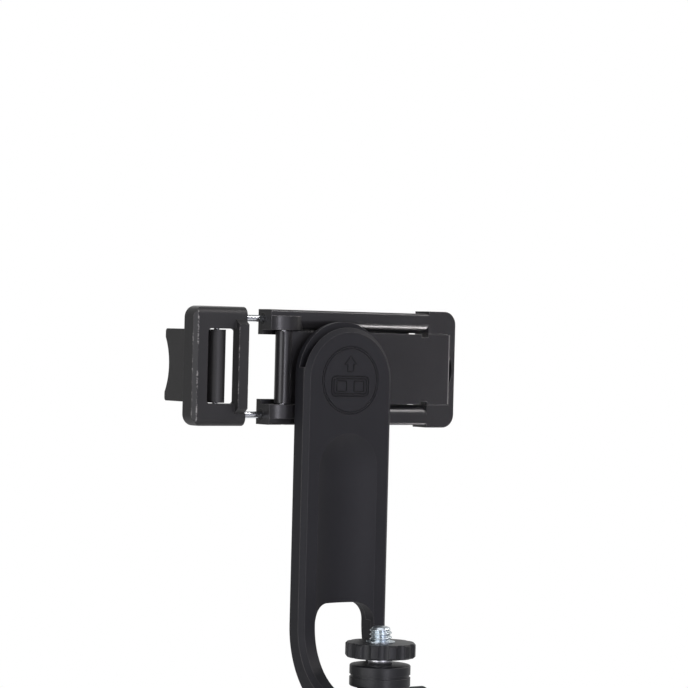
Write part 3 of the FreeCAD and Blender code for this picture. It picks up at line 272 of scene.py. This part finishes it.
def make_rub_group():
    """Rubbed stretch along an upright edge: a narrow band that breaks up into scratches."""
    group, inner, outer = start_group(
        "edge_rub", {"Edge X": 0.0, "Edge Y": 0.0, "Half Width": 0.3 * MM, "Amount": 0.5},
        ("Mask",))
    coords = object_coords(group)
    parts = split_vector(group, coords)
    away_x = math_node(group, "SUBTRACT", parts["X"], inner.outputs["Edge X"])
    away_y = math_node(group, "SUBTRACT", parts["Y"], inner.outputs["Edge Y"])
    away = length_node(group, away_x, away_y)
    reach = math_node(group, "DIVIDE", away, inner.outputs["Half Width"])
    band = math_node(group, "SUBTRACT", 1.0, reach, clamp=True)
    coarse = noise_node(group, coords, RUB_COARSE_SCALE, detail=3.0)
    fine = noise_node(group, coords, RUB_FINE_SCALE, detail=2.0)
    broken = math_node(group, "MULTIPLY", coarse, fine)
    lifted = math_node(group, "MULTIPLY", inner.outputs["Amount"], RUB_LIFT)
    chips = math_node(group, "ADD", math_node(group, "SUBTRACT", broken, RUB_THRESHOLD), lifted)
    sharp = math_node(group, "MULTIPLY", chips, RUB_SHARPNESS, clamp=True)
    group.links.new(math_node(group, "MULTIPLY", sharp, band), outer.inputs["Mask"])
    return group


def make_edge_group():
    """Painted highlight on edges: where the normal turns over an edge, outside a quiet disc on
    the head.
    """
    group, inner, outer = start_group(
        "painted_edge_highlight", {"Edge Round": EDGE_ROUND, "Gain": PLAIN_GAIN,
                         "Quiet Level": 0.0, "Quiet Radius": 0.0}, ("Mask",))
    edge = edge_node(group)
    group.links.new(inner.outputs["Edge Round"], edge.inputs["Radius"])
    along = group.nodes.new("ShaderNodeVectorMath")
    along.operation = "DOT_PRODUCT"
    group.links.new(edge.outputs["Normal"], along.inputs[0])
    group.links.new(group.nodes.new("ShaderNodeNewGeometry").outputs["Normal"], along.inputs[1])
    turned = math_node(group, "SUBTRACT", 1.0, along.outputs["Value"])
    strong = math_node(group, "MULTIPLY", turned, inner.outputs["Gain"], clamp=True)
    coords = object_coords(group)
    parts = split_vector(group, coords)
    rise = math_node(group, "SUBTRACT", parts["Z"], inner.outputs["Quiet Level"])
    away = length_node(group, parts["X"], rise)
    outside = math_node(group, "GREATER_THAN", away, inner.outputs["Quiet Radius"])
    patches = noise_node(group, coords, EDGE_HIGHLIGHT_SCALE, detail=3.0)
    uneven = math_node(group, "ADD", EDGE_HIGHLIGHT_LEAST, patches)
    broken = math_node(group, "MULTIPLY", strong, uneven, clamp=True)
    group.links.new(math_node(group, "MULTIPLY", broken, outside), outer.inputs["Mask"])
    return group


GRAIN = make_grain_group()
RUB = make_rub_group()
EDGE = make_edge_group()


# Materials
def place_group(tree, group, values):
    """Put a shared group into a material with its own values."""
    node = tree.nodes.new("ShaderNodeGroup")
    node.node_tree = group
    for name, value in values.items():
        node.inputs[name].default_value = value
    return node


def ramp(tree, socket, low, high):
    """A colour ramp between two colours or two grey levels."""
    node = tree.nodes.new("ShaderNodeValToRGB")
    for element, level in zip(node.color_ramp.elements, (low, high)):
        element.color = (level, level, level, 1) if isinstance(level, float) else (*level, 1)
    tree.links.new(socket, node.inputs["Fac"])
    return node.outputs["Color"]


def lay_over(tree, mask, below, colour):
    """A plain colour laid over what is below it, as far as a mask says."""
    mix = tree.nodes.new("ShaderNodeMix")
    mix.data_type = "RGBA"
    tree.links.new(mask, mix.inputs["Factor"])
    tree.links.new(below, mix.inputs["A"])
    mix.inputs["B"].default_value = colour
    return mix.outputs["Result"]


def start_material(name):
    """A node material, with its tree and its shader."""
    material = bpy.data.materials.new(name)
    material.use_nodes = True
    shader = material.node_tree.nodes["Principled BSDF"]
    return material, material.node_tree, shader


def add_bump(tree, shader, height, strength, distance, edge_round=EDGE_ROUND):
    """Feed a height, over softly rounded edges, to the shader's normal."""
    bump = tree.nodes.new("ShaderNodeBump")
    bump.inputs["Strength"].default_value = strength
    bump.inputs["Distance"].default_value = distance
    edge = edge_node(tree)
    edge.inputs["Radius"].default_value = edge_round
    tree.links.new(edge.outputs["Normal"], bump.inputs["Normal"])
    tree.links.new(height, bump.inputs["Height"])
    tree.links.new(bump.outputs["Normal"], shader.inputs["Normal"])


def moulded(name, dark, light, rough_low, rough_high, pits=PIT_SCALE, depth=PIT_DEPTH, rubs=(),
            edge_round=EDGE_ROUND, shine=PLAIN_SHINE, edge_gain=PLAIN_GAIN, quiet=(0.0, 0.0)):
    """Moulded plastic or rubber with grain, uneven sheen, rubbed edges and a painted highlight on
    its edges.
    """
    material, tree, shader = start_material(name)
    grain = place_group(tree, GRAIN, {"Pit Scale": pits, "Unevenness Scale": UNEVENNESS_SCALE})
    tone = grain.outputs["Tone"]
    colour = ramp(tree, tone, dark, light)
    for edge_x, edge_y, width, amount in rubs:
        rub = place_group(tree, RUB, {"Edge X": edge_x, "Edge Y": edge_y,
                                      "Half Width": width, "Amount": amount})
        colour = lay_over(tree, rub.outputs["Mask"], colour, RUB_COLOUR)
    # Painted highlight: a paler colour laid where the normal turns over an edge
    edge = place_group(tree, EDGE, {"Edge Round": edge_round, "Gain": edge_gain,
                                    "Quiet Level": quiet[0], "Quiet Radius": quiet[1]})
    colour = lay_over(tree, edge.outputs["Mask"], colour, EDGE_HIGHLIGHT_COLOUR)
    tree.links.new(colour, shader.inputs["Base Color"])
    tree.links.new(ramp(tree, tone, rough_low, rough_high), shader.inputs["Roughness"])
    shader.inputs["Specular IOR Level"].default_value = shine
    add_bump(tree, shader, grain.outputs["Height"], PIT_BUMP, depth, edge_round)
    return material


def metal(name, dark, light, rough_low, rough_high, streaks=UPRIGHT_STREAKS):
    """Plated or ground metal with fine streaks."""
    material, tree, shader = start_material(name)
    stretch = tree.nodes.new("ShaderNodeMapping")
    stretch.inputs["Scale"].default_value = streaks
    tree.links.new(object_coords(tree), stretch.inputs["Vector"])
    lines = noise_node(tree, stretch.outputs["Vector"], 1.0, detail=4.0)
    tree.links.new(ramp(tree, lines, dark, light), shader.inputs["Base Color"])
    tree.links.new(ramp(tree, lines, rough_low, rough_high), shader.inputs["Roughness"])
    shader.inputs["Metallic"].default_value = 1.0
    add_bump(tree, shader, lines, STREAK_BUMP, STREAK_DEPTH)
    return material


PLASTIC = moulded("arm_plastic", (0.0070, 0.0070, 0.0090), (0.0102, 0.0102, 0.0128), 0.52, 0.64,
                  edge_round=0.26 * MM, shine=0.29, edge_gain=STRONG_GAIN,
                  quiet=(HEAD_LEVEL, RING_REACH))
CLAMP_LOOK = dict(dark=(0.0128, 0.0123, 0.0131), light=(0.0178, 0.0172, 0.0182),
                  rough_low=0.27, rough_high=0.36,
                  edge_round=0.22 * MM, shine=0.5, edge_gain=STRONG_GAIN)
CLAMP_PLASTIC = moulded("clamp_plastic", **CLAMP_LOOK)
# Its rubbed stripe on the right edge is partly a painted highlight
PLATE_PLASTIC = moulded("plate_plastic", rubs=PLATE_RUB_AND_HIGHLIGHT, **CLAMP_LOOK)
HOOK_PLASTIC = moulded("hook_plastic", (0.0150, 0.0146, 0.0146), (0.0205, 0.0200, 0.0200),
                       0.44, 0.56, shine=0.48)
JAW_PLASTIC = moulded("jaw_plastic", (0.0122, 0.0119, 0.0123), (0.0172, 0.0168, 0.0173),
                      0.40, 0.52, rubs=JAW_RUBS)
KNOB_PLASTIC = moulded("knob_plastic", (0.0090, 0.0095, 0.0105), (0.0135, 0.0140, 0.0155),
                       0.34, 0.46, pits=3200.0, shine=0.33)
SIGN_PLASTIC = moulded("sign_plastic", (0.0028, 0.0028, 0.0033), (0.0042, 0.0042, 0.0049),
                       0.50, 0.60, shine=0.16, edge_gain=0.0)
BUSH = moulded("bush_plastic", (0.0060, 0.0058, 0.0056), (0.0085, 0.0082, 0.0080), 0.40, 0.52)
RUBBER = moulded("soft_rubber", (0.0075, 0.0075, 0.0078), (0.0110, 0.0110, 0.0114), 0.66, 0.80,
                 pits=1900.0, depth=0.03 * MM)
GRIP_RUBBER = moulded("grip_rubber", (0.0072, 0.0072, 0.0075), (0.0105, 0.0105, 0.0108),
                      0.70, 0.84, pits=760.0, depth=0.16 * MM)
CELL_WRAP = moulded("cell_wrap", (0.030, 0.075, 0.200), (0.042, 0.095, 0.240), 0.22, 0.32,
                    pits=700.0)
BOARD = moulded("board_lacquer", (0.008, 0.060, 0.022), (0.014, 0.085, 0.034), 0.30, 0.42,
                pits=900.0)
ZINC = metal("bright_zinc", (0.50, 0.57, 0.61), (0.70, 0.76, 0.79), 0.24, 0.34)
# Zinc of the collar: rougher than the bright zinc, and paler as a painted highlight, so that it
# reads bright under the knob
SATIN_ZINC_PAINTED_LIGHT = metal("satin_zinc_painted_light", (0.76, 0.78, 0.80), (0.90, 0.91, 0.92), 0.38, 0.48)
STEEL = metal("ground_steel", (0.36, 0.36, 0.37), (0.52, 0.52, 0.53), 0.26, 0.38)
ROD_CHROME = metal("polished_rod", (0.62, 0.65, 0.68), (0.78, 0.80, 0.82), 0.07, 0.14,
                   LENGTHWISE_STREAKS)
ALUMINIUM = metal("turned_aluminium", (0.44, 0.44, 0.46), (0.60, 0.60, 0.62), 0.30, 0.42)
MAGNET = metal("plated_magnet", (0.16, 0.16, 0.17), (0.26, 0.26, 0.27), 0.30, 0.45)
WINDING = metal("enamelled_wire", (0.40, 0.15, 0.05), (0.56, 0.24, 0.09), 0.30, 0.42,
                WIRE_STREAKS)

# The finish of each material slot, and of the pieces that have their own
FINISHES = {
    "black_plastic": PLASTIC,
    "black_rubber": RUBBER,
    "zinc": ZINC,
    "steel": STEEL,
    "bright_rod": ROD_CHROME,
    "bush": BUSH,
    "aluminium": ALUMINIUM,
    "winding": WINDING,
    "magnet": MAGNET,
    "cell_wrap": CELL_WRAP,
    "board": BOARD,
}
OWN_FINISH = {
    "grip_sleeve": GRIP_RUBBER,
    "clamp_frame": CLAMP_PLASTIC,
    "hinge_plate": PLATE_PLASTIC,
    "moving_hook": HOOK_PLASTIC,
    "fixed_hook": HOOK_PLASTIC,
    "moving_jaw": JAW_PLASTIC,
    "lock_knob": KNOB_PLASTIC,
    "column_platform": KNOB_PLASTIC,
    "pivot_hub": KNOB_PLASTIC,
    "power_button": KNOB_PLASTIC,
}
FINE_CREASES = ("arm_cover",)


# CAD pieces
def dress_node(name, slot):
    """Give a CAD piece its finish, smooth curves and crisp edges."""
    piece = nodes[name]
    piece.data.materials.clear()
    piece.data.materials.append(OWN_FINISH.get(name, FINISHES[slot]))
    for face in piece.data.polygons:
        face.use_smooth = True
    weld = piece.modifiers.new("weld", "WELD")
    weld.merge_threshold = WELD_REACH
    crease = piece.modifiers.new("crease", "EDGE_SPLIT")
    crease.split_angle = FINE_CREASE_ANGLE if name in FINE_CREASES else CREASE_ANGLE


for row in frame["record"]["subparts"]:
    dress_node(row["node"], row["material_slot"])


# Pieces made here
def finish_piece(name, mesh, body, material):
    """Make an object of a mesh that is already in place, and hang it on its body."""
    piece = bpy.data.objects.new(name, mesh)
    bpy.context.scene.collection.objects.link(piece)
    mesh.materials.clear()
    mesh.materials.append(material)
    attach(piece, body)
    return piece


def mesh_from(name, build):
    """A mesh from a function that fills a bmesh, with its normals pointing outwards."""
    work = bmesh.new()
    build(work)
    bmesh.ops.remove_doubles(work, verts=work.verts, dist=WELD_REACH)
    bmesh.ops.recalc_face_normals(work, faces=work.faces)
    mesh = bpy.data.meshes.new(name)
    work.to_mesh(mesh)
    work.free()
    return mesh


def join_rings(work, rings, axis):
    """One skin over rings round the Y or Z axis, each a list of radius and level pairs."""
    rows = []
    for ring in rings:
        verts = []
        for step, (radius, level) in enumerate(ring):
            angle = 2 * math.pi * step / len(ring)
            across, around = radius * math.cos(angle), radius * math.sin(angle)
            spot = (across, around, level) if axis == "Z" else (across, level, around)
            verts.append(work.verts.new(spot))
        rows.append(verts)
    for below, above in zip(rows, rows[1:]):
        for step in range(len(below)):
            after = (step + 1) % len(below)
            work.faces.new((below[step], below[after], above[after], above[step]))


# Camera screw with its thread
def build_screw(work):
    """A shank below, a collar on the platform and a helical thread above."""
    low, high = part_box("camera_screw")
    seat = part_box("column_platform")[1].z
    start = seat + COLLAR_HEIGHT
    rings = [[spot] * THREAD_STEPS for spot in (
        (0.0, low.z), (SHANK_RADIUS, low.z), (SHANK_RADIUS, seat), (high.x, seat),
        (high.x, start))]
    root = SCREW_RADIUS - THREAD_DEPTH
    top = high.z - THREAD_DEPTH
    count = int(round((top - start) / THREAD_PITCH * THREAD_ROWS))
    for row in range(count + 1):
        level = start + (top - start) * row / count
        lead = min(1.0, (top - level) / THREAD_PITCH * LEAD_RISE + LEAD_START)
        ring = []
        for step in range(THREAD_STEPS):
            turn = (level / THREAD_PITCH - step / THREAD_STEPS) % 1.0
            crest = max(0.0, min(1.0, (abs(turn - 0.5) - GROOVE_HALF) / FLANK))
            ring.append((root + THREAD_DEPTH * crest * lead, level))
        rings.append(ring)
    rings += [[spot] * THREAD_STEPS for spot in (
        (root, high.z - THREAD_DEPTH / 2), (root - THREAD_DEPTH, high.z), (0.0, high.z))]
    join_rings(work, rings, "Z")


screw_mesh = mesh_from("camera_screw_threaded", build_screw)
screw = finish_piece("camera_screw_threaded", screw_mesh, "handle", ZINC)
# The collar's faces take the paler zinc, a painted highlight
screw_mesh.materials.append(SATIN_ZINC_PAINTED_LIGHT)
collar_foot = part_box("column_platform")[1].z
for face in screw_mesh.polygons:
    face.use_smooth = True
    rise = face.center.z - collar_foot
    level_with_collar = -WELD_REACH < rise < COLLAR_HEIGHT + WELD_REACH
    if level_with_collar and face.center.xy.length > SCREW_RADIUS:
        face.material_index = 1
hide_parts("camera_screw")


# Geometry trees
def start_tree(name, inputs, output):
    """A geometry tree with named inputs and one output, and its two end nodes."""
    tree = bpy.data.node_groups.new(name, "GeometryNodeTree")
    for label, kind in inputs.items():
        tree.interface.new_socket(name=label, in_out="INPUT", socket_type=f"NodeSocket{kind}")
    tree.interface.new_socket(name=output, in_out="OUTPUT", socket_type="NodeSocketGeometry")
    return tree, tree.nodes.new("NodeGroupInput"), tree.nodes.new("NodeGroupOutput")


def end_tree(tree, made, finish, output):
    """Make instances real, give all of it the finish and hand it to the output."""
    whole = tree.nodes.new("GeometryNodeRealizeInstances")
    paint = tree.nodes.new("GeometryNodeSetMaterial")
    tree.links.new(made, whole.inputs["Geometry"])
    tree.links.new(whole.outputs["Geometry"], paint.inputs["Geometry"])
    tree.links.new(finish, paint.inputs["Material"])
    tree.links.new(paint.outputs["Geometry"], output)


def socket_id(tree, name):
    """The identifier of a named input of a geometry tree."""
    return next(item.identifier for item in tree.interface.items_tree if item.name == name)


def bake_tree(name, mesh, tree, inputs):
    """Run a geometry tree on a mesh and keep the result as a plain mesh."""
    holder = bpy.data.objects.new(f"{name}_holder", mesh)
    bpy.context.scene.collection.objects.link(holder)
    modifier = holder.modifiers.new("nodes", "NODES")
    modifier.node_group = tree
    for label, value in inputs.items():
        modifier[socket_id(tree, label)] = value
    shape = bpy.context.evaluated_depsgraph_get()
    made = bpy.data.meshes.new_from_object(holder.evaluated_get(shape))
    made.name = name
    bpy.data.objects.remove(holder)
    return made


# Pictogram: an arrow over a double frame with two squares, as fine raised lines
def rounded_outline(half_width, half_height, middle, corner, shift=0.0):
    """Points round a rectangle with round corners, in millimetres on the head's face."""
    points = []
    for quarter, (sx, sz) in enumerate(((1, 1), (-1, 1), (-1, -1), (1, -1))):
        for step in range(SIGN_CORNER_STEPS + 1):
            angle = math.pi / 2 * (quarter + step / SIGN_CORNER_STEPS)
            points.append((shift + sx * (half_width - corner) + corner * math.cos(angle),
                           middle + sz * (half_height - corner) + corner * math.sin(angle)))
    return points


def make_line_tree():
    """Geometry nodes that draw a round bead of a given radius along every edge of a mesh."""
    tree, inner, outer = start_tree(
        "sign_bead", {"Outlines": "Geometry", "Line Radius": "Float", "Finish": "Material"},
        "Beads")
    path = tree.nodes.new("GeometryNodeMeshToCurve")
    circle = tree.nodes.new("GeometryNodeCurvePrimitiveCircle")
    circle.inputs["Resolution"].default_value = SIGN_LINE_SIDES
    sweep = tree.nodes.new("GeometryNodeCurveToMesh")
    tree.links.new(inner.outputs["Outlines"], path.inputs["Mesh"])
    tree.links.new(inner.outputs["Line Radius"], circle.inputs["Radius"])
    tree.links.new(path.outputs["Curve"], sweep.inputs["Curve"])
    tree.links.new(circle.outputs["Curve"], sweep.inputs["Profile Curve"])
    end_tree(tree, sweep.outputs["Mesh"], inner.outputs["Finish"], outer.inputs["Beads"])
    return tree


def sign_mesh():
    """Closed outlines of the pictogram on the face of the head."""
    outlines = [SIGN_ARROW] + [rounded_outline(*sizes) for sizes in SIGN_FRAMES]
    for side in (-1, 1):
        outlines.append(rounded_outline(*SIGN_SQUARE, shift=side * SIGN_SQUARE_SHIFT))
    verts, edges = [], []
    for outline in outlines:
        start = len(verts)
        count = len(outline)
        verts += [(x * MM, FACE_LEVEL, HEAD_LEVEL + z * MM) for x, z in outline]
        edges += [(start + index, start + (index + 1) % count) for index in range(count)]
    mesh = bpy.data.meshes.new("sign_outlines")
    mesh.from_pydata(verts, edges, [])
    return mesh


sign = bake_tree("head_sign", sign_mesh(), make_line_tree(),
                 {"Line Radius": SIGN_LINE, "Finish": SIGN_PLASTIC})
finish_piece("head_sign", sign, "arm", SIGN_PLASTIC)


# Socket screws that hold the hinge plate to the motor
def build_socket_screw(work):
    """One screw along Y from its head's top, with a six-sided socket."""
    low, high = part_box("plate_screws")
    length = high.y - low.y
    rim = HEAD_RADIUS - HEAD_PLAY
    rings = [[spot] * HEX_STEPS for spot in (
        (0.0, -length), (STEM_RADIUS * STEM_TIP, -length),
        (STEM_RADIUS, STEM_RADIUS * STEM_TAPER - length), (STEM_RADIUS, -HEAD_HEIGHT),
        (rim, -HEAD_HEIGHT), (rim, -HEAD_EDGE), (rim - HEAD_EDGE, 0.0))]
    hexagon = [HEX_HALF / math.cos((2 * math.pi * step / HEX_STEPS) % (math.pi / 3) - math.pi / 6)
               for step in range(HEX_STEPS)]
    for level in (0.0, -HEX_DEPTH):
        rings.append([(radius, level) for radius in hexagon])
    rings.append([(0.0, -HEX_DEPTH)] * HEX_STEPS)
    join_rings(work, rings, "Y")


def screw_spots():
    """A mesh of four points, one at the top of each screw's head."""
    low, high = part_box("plate_screws")
    mesh = bpy.data.meshes.new("screw_spots")
    mesh.from_pydata([(x, high.y, z) for x in (low.x + HEAD_RADIUS, high.x - HEAD_RADIUS)
                      for z in (low.z + HEAD_RADIUS, high.z - HEAD_RADIUS)], [], [])
    return mesh


def make_screw_tree():
    """Geometry nodes that set a screw on every point, each turned by its own amount."""
    tree, inner, outer = start_tree(
        "screw_set", {"Spots": "Geometry", "Screw": "Object", "Most Turn": "Float",
                      "Finish": "Material"}, "Screws")
    model = tree.nodes.new("GeometryNodeObjectInfo")
    chance = tree.nodes.new("FunctionNodeRandomValue")
    chance.data_type = "FLOAT"
    chance.inputs["Seed"].default_value = TURN_SEED
    most = next(socket for socket in chance.inputs
                if socket.name == "Max" and socket.type == "VALUE")
    drawn = next(socket for socket in chance.outputs if socket.type == "VALUE")
    turn = tree.nodes.new("ShaderNodeCombineXYZ")
    around = tree.nodes.new("FunctionNodeEulerToRotation")
    place = tree.nodes.new("GeometryNodeInstanceOnPoints")
    tree.links.new(inner.outputs["Screw"], model.inputs["Object"])
    tree.links.new(inner.outputs["Most Turn"], most)
    tree.links.new(drawn, turn.inputs["Y"])
    tree.links.new(turn.outputs["Vector"], around.inputs["Euler"])
    tree.links.new(inner.outputs["Spots"], place.inputs["Points"])
    tree.links.new(model.outputs["Geometry"], place.inputs["Instance"])
    tree.links.new(around.outputs["Rotation"], place.inputs["Rotation"])
    end_tree(tree, place.outputs["Instances"], inner.outputs["Finish"], outer.inputs["Screws"])
    return tree


pattern = bpy.data.objects.new("socket_screw_pattern",
                               mesh_from("socket_screw_pattern", build_socket_screw))
bpy.context.scene.collection.objects.link(pattern)
screw_set = bake_tree("plate_socket_screws", screw_spots(), make_screw_tree(),
                      {"Screw": pattern, "Most Turn": MOST_TURN, "Finish": STEEL})
bpy.data.objects.remove(pattern)
plate_screws = finish_piece("plate_socket_screws", screw_set, "rotor", STEEL)
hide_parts("plate_screws")


# Floor, light and camera
def make_floor():
    """Round pale floor under the foot."""
    def build(work):
        bmesh.ops.create_circle(work, cap_ends=True, segments=FLOOR_SEGMENTS, radius=FLOOR_RADIUS)
    mesh = mesh_from("floor", build)
    floor = bpy.data.objects.new("floor", mesh)
    bpy.context.scene.collection.objects.link(floor)
    material, tree, shader = start_material("pale_floor")
    cloud = noise_node(tree, object_coords(tree), FLOOR_NOISE, detail=2.0)
    tree.links.new(ramp(tree, cloud, FLOOR_DARK, FLOOR_LIGHT), shader.inputs["Base Color"])
    shader.inputs["Roughness"].default_value = FLOOR_ROUGHNESS
    mesh.materials.append(material)


def area_light(name, spot, aim, size, power, colour=(1, 1, 1), spread=math.pi):
    """A soft box that faces a point; a grid in front of it narrows its spread."""
    lamp = bpy.data.lights.new(name, "AREA")
    lamp.shape = "RECTANGLE"
    lamp.size, lamp.size_y = size
    lamp.energy = power
    lamp.color = colour
    lamp.spread = spread
    item = bpy.data.objects.new(name, lamp)
    item.location = spot
    item.rotation_euler = (Vector(aim) - Vector(spot)).to_track_quat("-Z", "Y").to_euler()
    item.visible_camera = False
    bpy.context.scene.collection.objects.link(item)


def make_world():
    """Full white where it is seen; as light, a white backdrop behind and a dim room in front."""
    world = bpy.data.worlds.new("studio")
    bpy.context.scene.world = world
    world.use_nodes = True
    tree = world.node_tree
    background = tree.nodes["Background"]
    background.inputs["Color"].default_value = (1, 1, 1, 1)
    path = tree.nodes.new("ShaderNodeLightPath")
    coords = tree.nodes.new("ShaderNodeTexCoord")
    facing = tree.nodes.new("ShaderNodeVectorMath")
    facing.operation = "DOT_PRODUCT"
    tree.links.new(coords.outputs["Generated"], facing.inputs[0])
    facing.inputs[1].default_value = (AIM - EYE).normalized()
    share = tree.nodes.new("ShaderNodeMapRange")
    share.interpolation_type = "SMOOTHSTEP"
    for name, level in (("From Min", ROOM_EDGE), ("From Max", BACKDROP_EDGE),
                        ("To Min", ROOM_LEVEL), ("To Max", BACKDROP_LEVEL)):
        share.inputs[name].default_value = level
    tree.links.new(facing.outputs["Value"], share.inputs["Value"])
    strength = math_node(tree, "MAXIMUM", path.outputs["Is Camera Ray"], share.outputs["Result"])
    tree.links.new(strength, background.inputs["Strength"])


def make_camera():
    """The photograph's viewpoint, with its slight lean."""
    data = bpy.data.cameras.new("camera")
    data.lens = LENS
    data.sensor_width = SENSOR
    data.clip_start, data.clip_end = CLIP_NEAR, CLIP_FAR
    camera = bpy.data.objects.new("camera", data)
    camera.location = EYE
    level_turn = (AIM - EYE).to_track_quat("-Z", "Y").to_matrix().to_4x4()
    turn = level_turn @ Matrix.Rotation(CAMERA_ROLL, 4, "Z")
    camera.rotation_euler = turn.to_euler()
    bpy.context.scene.collection.objects.link(camera)
    bpy.context.scene.camera = camera


make_floor()
make_world()
make_camera()
for lamp_row in LAMPS:
    area_light(*lamp_row)
bpy.context.scene.view_settings.view_transform = "Standard"
